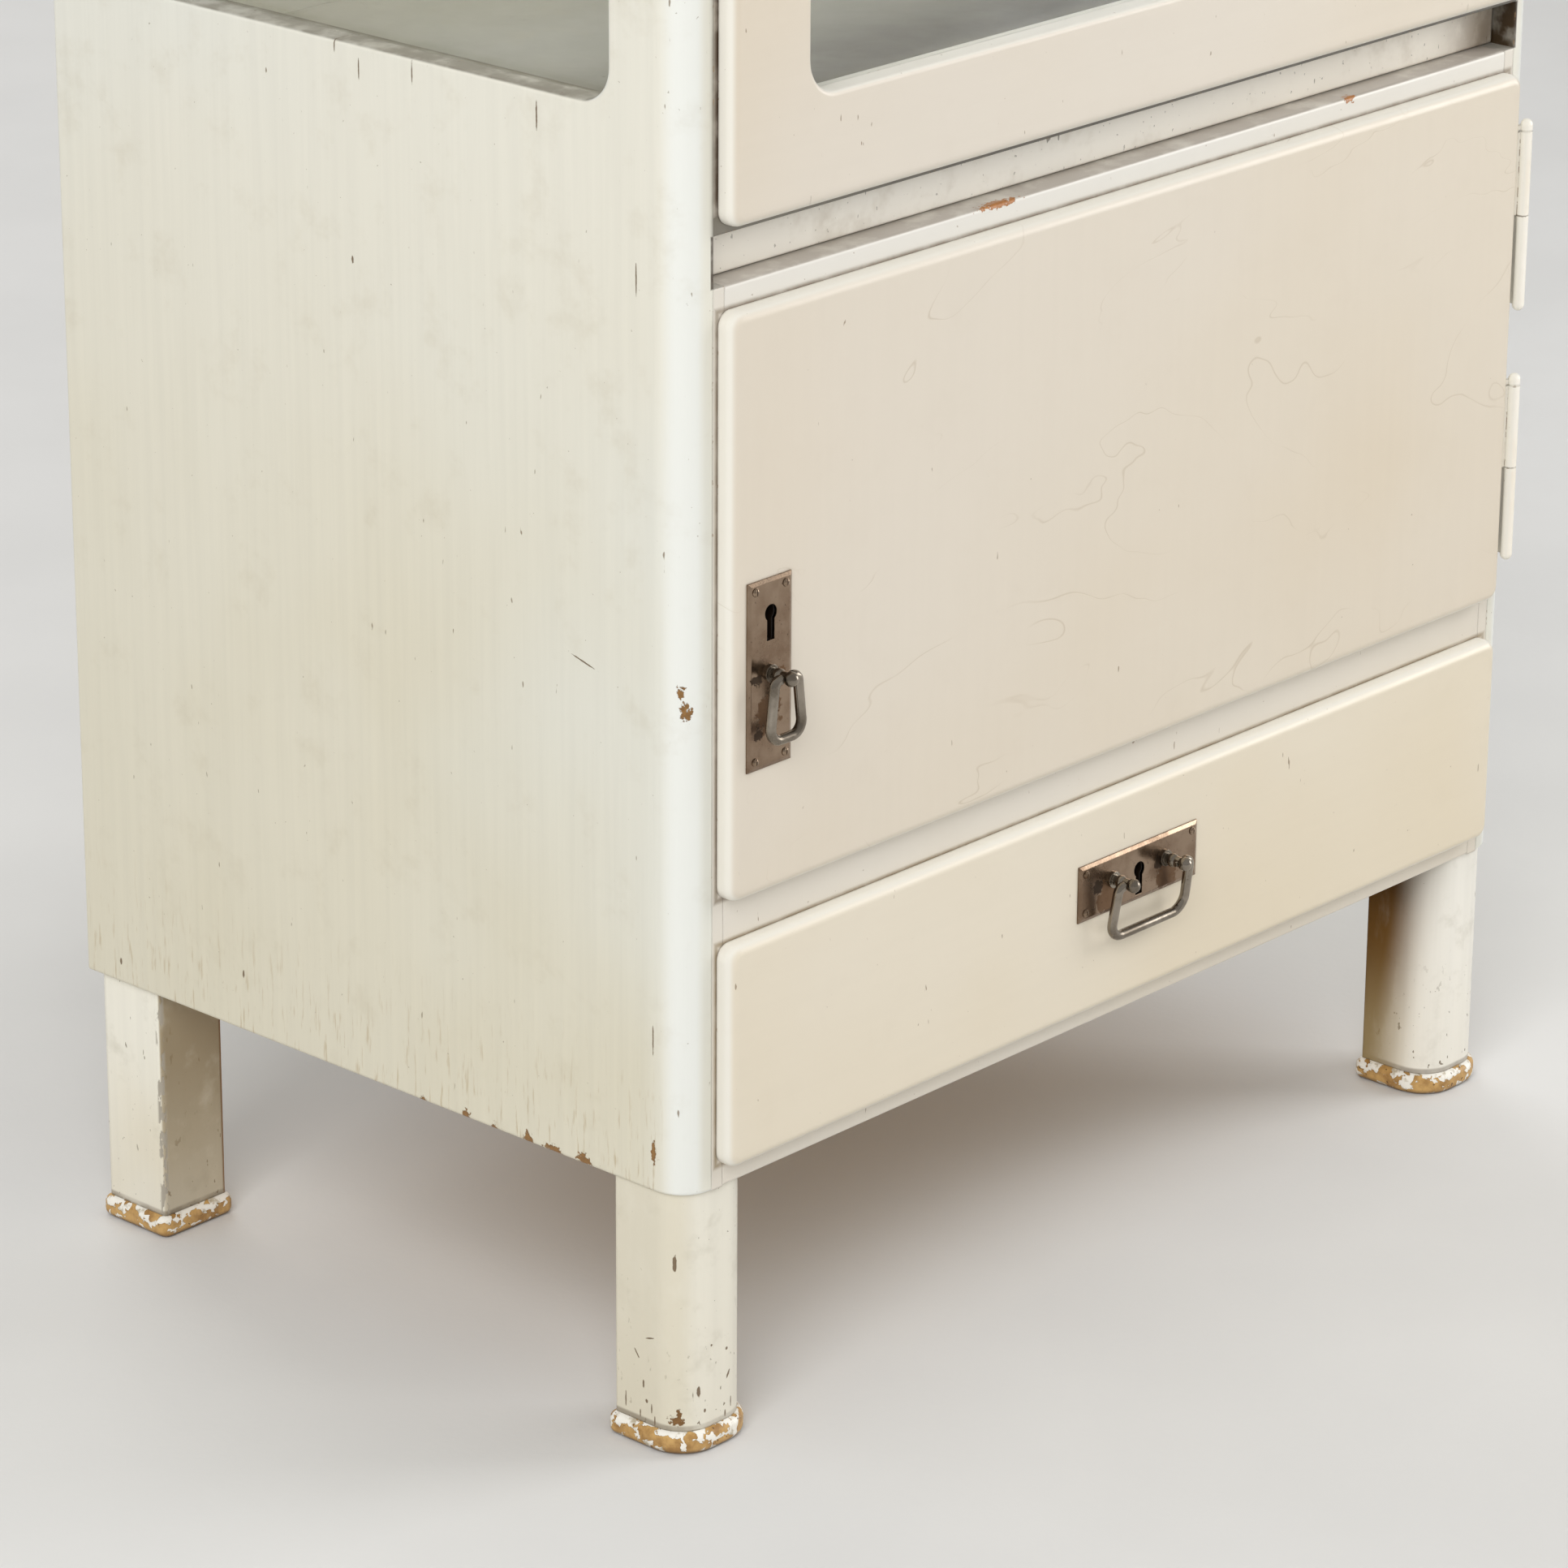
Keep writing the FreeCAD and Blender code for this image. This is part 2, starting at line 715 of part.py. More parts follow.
def foot_pad(inset, y, width, depth, corner_radius):
    body = new_body(f"{inset} - half_width", y, "0")
    plan = sketch_on(body, "XY_Plane")
    low = "-foot_flare"
    right = f"{width} + foot_flare"
    rear = f"{depth} + foot_flare"
    outline(plan, [(low, low, corner_radius), (right, low, corner_radius),
                   (right, rear, "foot_corner_radius"), (low, rear, "foot_corner_radius")])
    pad(body, plan, "foot_height")
    round_edges(body, "foot_edge_radius", lambda edge: near(edge.ZLength, 0))
    return body


front_plan = ("front_leg_inset", "front_plane + front_leg_inset", "front_leg_width", "front_leg_depth")
rear_plan = ("rear_leg_inset", "rear_plane - rear_leg_setback - rear_leg_width", "rear_leg_width",
             "rear_leg_width")
front_leg = keep(leg(*front_plan, "leg_corner_radius", "front_leg_depth - dowel_inset"), "front_left_leg")
rear_leg = keep(leg(*rear_plan, "leg_edge_radius", "rear_leg_width / 2"), "rear_left_leg")
keep(mirrored(front_leg), "front_right_leg")
keep(mirrored(rear_leg), "rear_right_leg")
left_pads = [foot_pad(*front_plan, "leg_corner_radius + foot_flare"),
             foot_pad(*rear_plan, "foot_corner_radius")]
keep(grouped(*left_pads, *[mirrored(foot) for foot in left_pads]), "foot_pads")


# Glass in the side windows, held by beads.
def side_glass():
    spare = "(glass_rebate - glass_clearance)"
    return box("side_glass_setback - half_width", f"front_plane + window_front - {spare}",
               f"window_low - {spare}", "glass_thickness",
               f"carcass_depth - window_front - window_rear + 2 * {spare}",
               f"window_high - window_low + 2 * {spare}")


def side_beads():
    x = "side_glass_setback + glass_thickness - half_width"
    front = "front_plane + window_front - glass_rebate"
    rear = "rear_plane - window_rear + glass_rebate - bead_width"
    low = "window_low - glass_rebate"
    high = "window_high + glass_rebate - bead_width"
    tall = "window_high - window_low + 2 * glass_rebate"
    deep = "carcass_depth - window_front - window_rear + 2 * (glass_rebate - bead_width)"
    uprights = [box(x, y, low, "bead_thickness", "bead_width", tall) for y in (front, rear)]
    levels = [box(x, front + " + bead_width", z, "bead_thickness", deep, "bead_width") for z in (low, high)]
    return uprights + levels


left_glass = keep(side_glass(), "left_side_glass")
keep(mirrored(left_glass), "right_side_glass")
left_beads = side_beads()
keep(grouped(*left_beads, *[mirrored(bead) for bead in left_beads]), "side_glazing_beads")

# Glass shelves on pins in the side boards.
shelf_pins = []
for number, shelf_name in enumerate(shelf_names, start=1):
    shelf_half = "(inner_half - shelf_end_gap)"
    shelf_front = "board_front + shelf_front_gap"
    shelf = box("-" + shelf_half, shelf_front, shelf_height(number) + " + pin_radius", "2 * " + shelf_half,
                f"back_front - shelf_back_gap - ({shelf_front})", "shelf_thickness")
    keep(shelf, f"{shelf_name}_glass_shelf")
    for pin_place in pin_places:
        pin = rod("-inner_half - pin_depth", "front_plane + " + pin_place, shelf_height(number),
                  "pin_radius", "pin_depth + pin_reach", along_x)
        shelf_pins += [pin, mirrored(pin)]
keep(grouped(*shelf_pins), "shelf_pins")


# A lipped front: a lip that covers the opening's edge and a panel that goes into it.
def lipped_front(low, high):
    body = new_body("0", "lip_back", low)
    height = f"({high} - {low})"
    lip = sketch_on(body, "XZ_Plane")
    rectangle(lip, "-lip_half", "-lip_overlap", "lip_half", height + " + lip_overlap", "lip_corner_radius")
    pad(body, lip, "lip_thickness")
    panel = sketch_on(body, "XZ_Plane")
    rectangle(panel, "-panel_half", "panel_clearance", "panel_half", height + " - panel_clearance")
    pad(body, panel, "lip_gap + panel_depth", backwards=True)
    face = measure("-lip_thickness")
    round_edges(body, "lip_edge_radius", lambda edge: near(edge.YMax, face))
    return body


def keyhole(body, x, z):
    pocket(body, circle(sketch_on(body, "XZ_Plane"), x, z, "keyhole_radius"), both_ways=True)
    slot = sketch_on(body, "XZ_Plane")
    half = "keyhole_slot_width / 2"
    rectangle(slot, f"{x} - {half}", f"{z} - keyhole_drop", f"{x} + {half}", z)
    pocket(body, slot, both_ways=True)


def screw_places(width, height):
    across = f"({width} / 2 - screw_inset)"
    up = f"({height} / 2 - screw_inset)"
    return [(f"{side} * {across}", f"{end} * {up}") for side in (-1, 1) for end in (-1, 1)]


def screw_holes(body, x, z, width, height):
    holes = sketch_on(body, "XZ_Plane", "lip_thickness")
    for across, up in screw_places(width, height):
        circle(holes, f"{x} + {across}", f"{z} + {up}", "screw_shank_radius + screw_clearance")
    pocket(body, holes, "screw_length")


lower_door = lipped_front("lower_low", "lower_high")
keyhole(lower_door, "door_plate_x", lower_keyhole + " - lower_low")
screw_holes(lower_door, "door_plate_x", "lower_plate_z - lower_low", "plate_width", "plate_length")
keep(cut(lower_door, *[door_leaf(low) for low in lower_hinges]), "lower_door_panel")

drawer_keyhole = "drawer_plate_z + drawer_keyhole_rise"
drawer_front = lipped_front("drawer_low", "drawer_high")
keyhole(drawer_front, "0", drawer_keyhole + " - drawer_low")
screw_holes(drawer_front, "0", "drawer_plate_z - drawer_low", "plate_length", "plate_width")
keep(drawer_front, "drawer_front")


# The upper door: one frame, parted into stiles and rails with tenons.
def upper_frame():
    body = lipped_front("upper_low", "upper_high")
    low = "door_rail_width - lip_overlap"
    high = "upper_opening_height + lip_overlap - door_rail_width"
    window = sketch_on(body, "XZ_Plane")
    rectangle(window, "-door_window_half", low, "door_window_half", high, "window_corner_radius")
    pocket(body, window, both_ways=True)
    face = measure("-lip_thickness")
    within = measure("door_window_half + glass_clearance")
    round_edges(body, "window_edge_radius", lambda edge: near(edge.YMax, face)
                and edge.XMin > -within and edge.XMax < within
                and edge.ZMin > measure(low + " - glass_clearance")
                and edge.ZMax < measure(high + " + glass_clearance"))
    rebate = sketch_on(body, "XZ_Plane", "lip_thickness - door_glass_setback")
    half = "(door_window_half + glass_rebate)"
    rectangle(rebate, "-" + half, low + " - glass_rebate", half, high + " + glass_rebate")
    pocket(body, rebate)
    keyhole(body, "door_plate_x", upper_keyhole + " - upper_low")
    screw_holes(body, "door_plate_x", "upper_plate_z - upper_low", "plate_width", "plate_length")
    return body


door_frame = upper_frame()
door_low = "upper_low - lip_overlap"
door_high = "upper_high + lip_overlap"


def frame_region(x, width):
    return box(x, "lip_face - overrun", f"{door_low} - overrun", width,
               "panel_back - lip_face + 2 * overrun", f"{door_high} - ({door_low}) + 2 * overrun")


def tenon(side, low):
    x = "door_window_half" if side > 0 else "-door_window_half - tenon_length"
    return box(x, "lip_face + tenon_setback", f"{low} + tenon_margin", "tenon_length", "tenon_thickness",
               "door_rail_width - 2 * tenon_margin")


rail_lows = {"bottom": door_low, "top": f"{door_high} - door_rail_width"}
middle_split = "(upper_low + upper_high) / 2"
left_region = frame_region("-lip_half - overrun", "door_stile_width + overrun")
right_region = frame_region("door_window_half", "door_stile_width + overrun")
left_stile = cut(overlap(door_frame, left_region), *[tenon(-1, low) for low in rail_lows.values()])
keep(left_stile, "upper_door_left_stile")
right_cuts = [tenon(1, low) for low in rail_lows.values()] + [door_leaf(low) for low in upper_hinges]
keep(cut(overlap(door_frame, right_region), *right_cuts), "upper_door_right_stile")
for rail_name, rail_low in rail_lows.items():
    region_low = f"{door_low} - overrun" if rail_name == "bottom" else middle_split
    region = box("-door_window_half", "lip_face - overrun", region_low, "2 * door_window_half",
                 "panel_back - lip_face + 2 * overrun", f"{middle_split} - ({door_low}) + overrun")
    rail_piece = fused(overlap(door_frame, region), tenon(-1, rail_low), tenon(1, rail_low))
    keep(rail_piece, f"upper_door_{rail_name}_rail")

spare = "(glass_rebate - glass_clearance)"
pane_low = f"{door_low} + door_rail_width"
pane_tall = f"({door_high} - ({door_low}) - 2 * door_rail_width)"
glass_y = "lip_face + door_glass_setback"
door_glass = box(f"-door_window_half - {spare}", glass_y, f"{pane_low} - {spare}",
                 f"2 * (door_window_half + {spare})", "glass_thickness", f"{pane_tall} + 2 * {spare}")
keep(door_glass, "upper_door_glass")


def door_beads():
    half = "(door_window_half + glass_rebate)"
    y = glass_y + " + glass_thickness"
    low = f"{pane_low} - glass_rebate"
    high = f"{pane_low} + {pane_tall} + glass_rebate - bead_width"
    tall = f"{pane_tall} + 2 * glass_rebate"
    uprights = [box(x, y, low, "bead_width", "bead_thickness", tall)
                for x in ("-" + half, half + " - bead_width")]
    wide = f"2 * ({half} - bead_width)"
    levels = [box(f"bead_width - {half}", y, z, wide, "bead_thickness", "bead_width") for z in (low, high)]
    return uprights + levels


keep(grouped(*door_beads()), "upper_door_beads")


# Lock plates with a keyhole, held by four screws with slotted domed heads.
def lock_plate(x, z, width, height, keyhole_rise):
    body = new_body(x, "lip_face", z)
    half_width = f"{width} / 2"
    half_height = f"{height} / 2"
    for depth, thickness in (("0", "plate_rim"), ("plate_rim", "plate_bevel_depth")):
        face = sketch_on(body, "XZ_Plane", depth)
        rectangle(face, "-" + half_width, "-" + half_height, half_width, half_height)
        layer = pad(body, face, thickness)
    bind(layer, "TaperAngle", "-atan(plate_bevel_width / plate_bevel_depth)")
    keyhole(body, "0", keyhole_rise)
    holes = sketch_on(body, "XZ_Plane")
    for across, up in screw_places(width, height):
        circle(holes, across, up, "screw_shank_radius + screw_clearance")
    pocket(body, holes, both_ways=True)
    return body


def screw(x, z):
    shank_length = "plate_thickness + screw_length - screw_clearance"
    shank = rod(x, "plate_face", z, "screw_shank_radius", shank_length, to_back)
    dome = doc.addObject("Part::Ellipsoid", "Dome")
    dome.Placement.Rotation = to_front
    dome.Angle1 = 0
    bind(dome, "Radius1", "screw_head_height")
    bind(dome, "Radius2", "screw_head_radius")
    bind(dome, "Radius3", "screw_head_radius")
    move_to(dome, x, "plate_face", z)
    slot = box(f"{x} - screw_slot_width / 2", "plate_face - screw_head_height - overrun",
               f"{z} - screw_head_radius - overrun", "screw_slot_width", "screw_slot_depth + overrun",
               "2 * (screw_head_radius + overrun)")
    return cut(fused(shank, dome), slot)


def plate_screws(x, z, width, height):
    return grouped(*[screw(f"{x} + {across}", f"{z} + {up}") for across, up in screw_places(width, height)])


# Posts: a flange, a ball, an eye for the pivot pin and an end ball.
def pull_post(x, z):
    def ahead(distance):
        return f"plate_face - {distance}"

    flange = rod(x, "plate_face", z, "flange_radius", "flange_thickness", to_front)
    neck_ball = ball(x, ahead("neck_ball_place"), z, "neck_ball_radius")
    eye = rod(x, "plate_face", z, "eye_radius", "end_ball_place", to_front)
    end_ball = ball(x, ahead("end_ball_place"), z, "end_ball_radius")
    hole = rod(f"{x} - pull_shoulder", "pivot_y", z, "pivot_pin_radius + pivot_clearance",
               "2 * pull_shoulder", along_x)
    return cut(fused(flange, neck_ball, eye, end_ball), hole)


# A bent wire that hangs from a pivot: its ends turn in towards the eye and thin down to pins.
def hanging_pull(x, z, top_half, half_width, drop, shoulder, corner, inner_end):
    body = new_body(x, "pivot_y", z)
    path = sketch_on(body, "XZ_Plane")
    outline(path, [(f"-({inner_end})", "0", None), (f"-{top_half}", "0", shoulder),
                   (f"-{half_width}", f"-{drop}", corner), (half_width, f"-{drop}", corner),
                   (top_half, "0", shoulder), (inner_end, "0", None)], closed=False)
    profile = circle(sketch_on(body, "YZ_Plane", f"-({inner_end})"), "0", "0", "wire_radius")
    doc.recompute()
    wire = body.newObject("PartDesign::AdditivePipe", "Wire")
    wire.Profile = profile
    wire.Spine = (path, [f"Edge{number}" for number in range(1, len(path.Shape.Edges) + 1)])
    return body


def drop_ring(z):
    body = hanging_pull("door_plate_x", z, "ring_top_half_width", "ring_half_width", "ring_drop",
                        "ring_shoulder_radius", "ring_corner_radius", "pull_shoulder")
    pin = circle(sketch_on(body, "YZ_Plane"), "0", "0", "pivot_pin_radius")
    pad(body, pin, "2 * (pull_shoulder + shoulder_gap)", both_ways=True)
    return body


# The bail hangs a little inwards.
def drawer_bail(z):
    body = hanging_pull("0", z, "bail_top_half_width", "bail_half_width", "bail_drop",
                        "bail_shoulder_radius", "bail_corner_radius", "post_half_spacing + pull_shoulder")
    body.Placement.Rotation.Axis = FreeCAD.Vector(1, 0, 0)
    bind(body, "Placement.Rotation.Angle", "asin(bail_inset / bail_drop)")
    pin_start = "post_half_spacing - pull_shoulder"
    for start, backwards in ((pin_start, False), (f"-({pin_start})", True)):
        pin = circle(sketch_on(body, "YZ_Plane", start), "0", "0", "pivot_pin_radius")
        pad(body, pin, "2 * pull_shoulder + shoulder_gap", backwards=backwards)
    return body


door_hardware = {"lower": "lower_plate_z", "upper": "upper_plate_z"}
for door_name, plate_z in door_hardware.items():
    plate = lock_plate("door_plate_x", plate_z, "plate_width", "plate_length", "door_keyhole_rise")
    keep(plate, f"{door_name}_lock_plate")
    keep(plate_screws("door_plate_x", plate_z, "plate_width", "plate_length"), f"{door_name}_plate_screws")
    keep(pull_post("door_plate_x", plate_z), f"{door_name}_ring_post")
    keep(drop_ring(plate_z), f"{door_name}_ring")

drawer_plate = lock_plate("0", "drawer_plate_z", "plate_length", "plate_width", "drawer_keyhole_rise")
keep(drawer_plate, "drawer_lock_plate")
keep(plate_screws("0", "drawer_plate_z", "plate_length", "plate_width"), "drawer_plate_screws")
pull_z = "drawer_plate_z + drawer_pull_rise"
keep(grouped(*[pull_post(f"{side} * post_half_spacing", pull_z) for side in (-1, 1)]), "drawer_pull_posts")
keep(drawer_bail(pull_z), "drawer_bail")


# Locks: a case behind the keyhole and a bolt that slides out of its edge.
def key_recess(x, z):
    turn = rod(x, "panel_back", z, "keyhole_radius", "lock_recess", to_back)
    slot = box(f"{x} - keyhole_slot_width / 2", "panel_back", f"{z} - keyhole_drop", "keyhole_slot_width",
               "lock_recess", "keyhole_drop")
    return turn, slot


def door_lock(door_name, keyhole_z):
    case = box("lock_left", "panel_back", f"{keyhole_z} - lock_case_length / 2", "lock_case_width",
               "lock_case_depth", "lock_case_length")
    bolt_z = f"{keyhole_z} + bolt_rise - bolt_width / 2"
    channel = box("lock_left - overrun", "bolt_y - bolt_clearance", f"{bolt_z} - bolt_clearance",
                  "overrun + bolt_length + bolt_clearance", "bolt_thickness + 2 * bolt_clearance",
                  "bolt_width + 2 * bolt_clearance")
    keep(cut(case, channel, *key_recess("door_plate_x", keyhole_z)), f"{door_name}_lock_case")
    bolt = box("lock_left", "bolt_y", bolt_z, "bolt_length", "bolt_thickness", "bolt_width")
    keep(bolt, f"{door_name}_bolt")


door_lock("lower", lower_keyhole)
door_lock("upper", upper_keyhole)

bolt_start = "drawer_lock_top - bolt_length"
drawer_case = box("-lock_case_length / 2", "panel_back", "drawer_lock_top - drawer_lock_height",
                  "lock_case_length", "lock_case_depth", "drawer_lock_height")
drawer_channel = box("-bolt_width / 2 - bolt_clearance", "bolt_y - bolt_clearance",
                     f"{bolt_start} - bolt_clearance", "bolt_width + 2 * bolt_clearance",
                     "bolt_thickness + 2 * bolt_clearance", "bolt_length + bolt_clearance + overrun")
keep(cut(drawer_case, drawer_channel, *key_recess("0", drawer_keyhole)), "drawer_lock_case")
drawer_bolt = box("-bolt_width / 2", "bolt_y", bolt_start, "bolt_width", "bolt_thickness", "bolt_length")
keep(drawer_bolt, "drawer_bolt")

# Drawer box, running on the bottom board between guides.
box_low = "drawer_low + slide_gap"
bottom_low = f"{box_low} + drawer_bottom_rise"
box_back = "panel_back + drawer_length"
inside_half = "(panel_half - drawer_side_thickness)"
bottom_half = f"({inside_half} + drawer_groove)"


def drawer_base():
    return box("-" + bottom_half, "panel_back", bottom_low, "2 * " + bottom_half, "drawer_length",
               "drawer_bottom_thickness")


drawer_side = cut(box("-panel_half", "panel_back", box_low, "drawer_side_thickness", "drawer_length",
                      "drawer_side_height"), drawer_base())
keep(grouped(drawer_side, mirrored(drawer_side)), "drawer_sides")
keep(drawer_base(), "drawer_bottom")
back_low = f"{bottom_low} + drawer_bottom_thickness"
drawer_back = box("-" + inside_half, f"{box_back} - drawer_side_thickness", back_low, "2 * " + inside_half,
                  "drawer_side_thickness",
                  f"drawer_side_height - drawer_back_gap - ({back_low} - ({box_low}))")
keep(drawer_back, "drawer_back")
guide = box("-inner_half", "board_front", "drawer_low", "inner_half - panel_half - guide_clearance",
            "back_front - board_front", "guide_height")
keep(grouped(guide, mirrored(guide)), "drawer_guides")

# Pull-out board with an edging at its front.
tray_half = "inner_half - tray_end_gap"
tray_high = "tray_low + tray_thickness"
tray_edge = rail("tray_low", tray_high, "tray_front", "tray_edge_depth", tray_half, "tray_edge_radius")
keep(tray_edge, "tray_front_edge")
keep(box(f"-({tray_half})", "tray_front + tray_edge_depth", "tray_low", f"2 * ({tray_half})",
         "tray_length - tray_edge_depth", "tray_thickness"), "tray_board")

doc.recompute()
faults = [item.Name for item in doc.Objects if {"Invalid", "Error"} & set(item.State)]
for subpart in subparts:
    if subpart.Shape.isNull() or not subpart.Shape.isValid() or not subpart.Shape.Solids:
        faults.append(subpart.Label)
if faults:
    raise RuntimeError("failed: " + ", ".join(faults))

os.makedirs("parts", exist_ok=True)
for subpart in subparts:
    subpart.Shape.exportStep(f"parts/{subpart.Label}.step")
    print(subpart.Label, len(subpart.Shape.Solids), "solids", round(subpart.Shape.Volume), "mm3")
print(len(subparts), "sub-parts")
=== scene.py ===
import bpy
import bmesh
from math import radians
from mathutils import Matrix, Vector


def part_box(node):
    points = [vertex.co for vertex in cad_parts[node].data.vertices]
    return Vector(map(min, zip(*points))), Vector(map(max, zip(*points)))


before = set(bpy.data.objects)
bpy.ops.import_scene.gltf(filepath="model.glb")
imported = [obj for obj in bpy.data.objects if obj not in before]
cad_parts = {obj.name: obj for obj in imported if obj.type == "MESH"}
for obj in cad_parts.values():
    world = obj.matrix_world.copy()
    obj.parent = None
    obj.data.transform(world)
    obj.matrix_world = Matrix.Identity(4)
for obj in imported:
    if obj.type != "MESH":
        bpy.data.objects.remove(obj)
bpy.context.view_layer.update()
print("frame loaded:", len(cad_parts), "nodes")


def shade(red, green, blue):
    # screen colour 0-255 to the linear colour that a shader takes
    linear = [(c / 255 / 12.92) if c < 10.3 else ((c / 255 + 0.055) / 1.055) ** 2.4 for c in (red, green, blue)]
    return (*linear, 1.0)


class Finish:
    # one material with the colour and height built so far, and the node recipes that all finishes share
    def __init__(self, name):
        self.mat = bpy.data.materials.new(name)
        self.mat.use_nodes = True
        self.tree = self.mat.node_tree
        self.shader = self.tree.nodes["Principled BSDF"]
        source = self.add("TexCoord")
        self.place, self.normal = source.outputs["Object"], source.outputs["Normal"]
        split = self.add("SeparateXYZ")
        self.feed(split.inputs[0], self.place)
        self.x, self.y, self.z = split.outputs
        self.soft = None

    def add(self, kind, **settings):
        made = self.tree.nodes.new("ShaderNode" + kind)
        for key, value in settings.items():
            setattr(made, key, value)
        return made

    def feed(self, socket, value):
        if isinstance(value, bpy.types.NodeSocket):
            self.tree.links.new(value, socket)
        else:
            socket.default_value = value

    def maths(self, operation, *values):
        made = self.add("Math", operation=operation)
        for socket, value in zip(made.inputs, values):
            self.feed(socket, value)
        return made.outputs[0]

    def times(self, *values):
        total = values[0]
        for value in values[1:]:
            total = self.maths("MULTIPLY", total, value)
        return total

    def most(self, *values):
        total = values[0]
        for value in values[1:]:
            total = self.maths("MAXIMUM", total, value)
        return total

    def cloud(self, scale, detail=2.0, rough=0.5, warp=0.0, shift=(0, 0, 0)):
        # scale is one number, or three for a pattern that is longer one way
        spread = self.add("Mapping")
        self.feed(spread.inputs["Vector"], self.place)
        spread.inputs["Location"].default_value = shift
        spread.inputs["Scale"].default_value = scale if isinstance(scale, tuple) else (scale, scale, scale)
        made = self.add("TexNoise")
        self.feed(made.inputs["Vector"], spread.outputs[0])
        made.inputs["Scale"].default_value = 1.0
        made.inputs["Detail"].default_value = detail
        made.inputs["Roughness"].default_value = rough
        made.inputs["Distortion"].default_value = warp
        return made.outputs["Fac"]

    def band(self, value, low, high, start=0.0, stop=1.0):
        made = self.add("MapRange", interpolation_type="SMOOTHSTEP")
        for socket, number in zip(made.inputs, (value, low, high, start, stop)):
            self.feed(socket, number)
        return made.outputs["Result"]

    def mixed(self, share, first, second):
        made = self.add("Mix", data_type="RGBA")
        self.feed(made.inputs[0], share)
        self.feed(made.inputs[6], first)
        self.feed(made.inputs[7], second)
        return made.outputs[2]

    def lit(self, colour, value):
        made = self.add("HueSaturation")
        self.feed(made.inputs["Color"], colour)
        self.feed(made.inputs["Value"], value)
        return made.outputs["Color"]

    def paint(self, share, tone):
        self.colour = self.mixed(share, self.colour, shade(*tone))

    def sink(self, share, depth):
        self.height = self.maths("SUBTRACT", self.height, self.times(share, depth))

    def spots(self, places, ragged, grain):
        # ellipsoids at listed points (place, half sizes, maybe a turn), with a torn outline
        near = None
        for spot in places:
            made = self.add("Mapping", vector_type="TEXTURE")
            self.feed(made.inputs["Vector"], self.place)
            made.inputs["Location"].default_value = spot[0:3]
            made.inputs["Scale"].default_value = spot[3:6]
            if len(spot) > 6:
                made.inputs["Rotation"].default_value = spot[6]
            reach = self.add("VectorMath", operation="LENGTH")
            self.feed(reach.inputs[0], made.outputs[0])
            away = reach.outputs["Value"]
            near = away if near is None else self.maths("MINIMUM", near, away)
        torn = self.maths("MULTIPLY_ADD", self.cloud(grain, 3, 0.6), ragged, -ragged / 2)
        return self.band(self.maths("ADD", near, torn), 1.05, 0.8)

    def outside(self, low, high):
        # how far a point lies outside an upright rectangle, below zero inside it
        reach = []
        for value, index in ((self.x, 0), (self.z, 2)):
            middle, half = (low[index] + high[index]) / 2, (high[index] - low[index]) / 2
            away = self.maths("ABSOLUTE", self.maths("SUBTRACT", value, middle))
            reach.append(self.maths("SUBTRACT", away, half))
        return self.most(*reach)

    def facing(self, way):
        made = self.add("VectorMath", operation="DOT_PRODUCT")
        self.feed(made.inputs[0], self.normal)
        made.inputs[1].default_value = way
        return made.outputs["Value"]

    def beside(self, across, deep):
        # distance from an upright line
        right, rear = self.maths("SUBTRACT", self.x, across), self.maths("SUBTRACT", self.y, deep)
        return self.maths("SQRT", self.maths("ADD", self.times(right, right), self.times(rear, rear)))

    def worn(self, radius, joints=()):
        # soft normal near a sharp edge, and how far it leaves the true one; painted-over joints stay flat
        bevel = self.add("Bevel", samples=6)
        bevel.inputs["Radius"].default_value = radius
        flat = self.add("NewGeometry").outputs["Normal"]
        self.soft = bevel.outputs["Normal"]
        for low, high in joints:
            made = self.add("Mix", data_type="VECTOR")
            self.feed(made.inputs[0], self.band(self.outside(low, high), 0.0006, 0.0))
            self.feed(made.inputs[4], self.soft)
            self.feed(made.inputs[5], flat)
            self.soft = made.outputs[1]
        made = self.add("VectorMath", operation="DOT_PRODUCT")
        self.feed(made.inputs[0], self.soft)
        self.feed(made.inputs[1], flat)
        return self.maths("SUBTRACT", 1.0, made.outputs["Value"])

    def done(self, rough, depth):
        bump = self.add("Bump")
        bump.inputs["Strength"].default_value = 1.0
        bump.inputs["Distance"].default_value = depth
        self.feed(bump.inputs["Height"], self.height)
        if self.soft is not None:
            self.feed(bump.inputs["Normal"], self.soft)
        self.feed(self.shader.inputs["Base Color"], self.colour)
        self.feed(self.shader.inputs["Roughness"], rough)
        self.feed(self.shader.inputs["Normal"], bump.outputs["Normal"])
        return self.mat


def dress(mat, *names):
    for name in names:
        node = bpy.data.objects[name]
        if not node.material_slots:
            node.data.materials.append(mat)
        for slot in node.material_slots:
            slot.material = mat


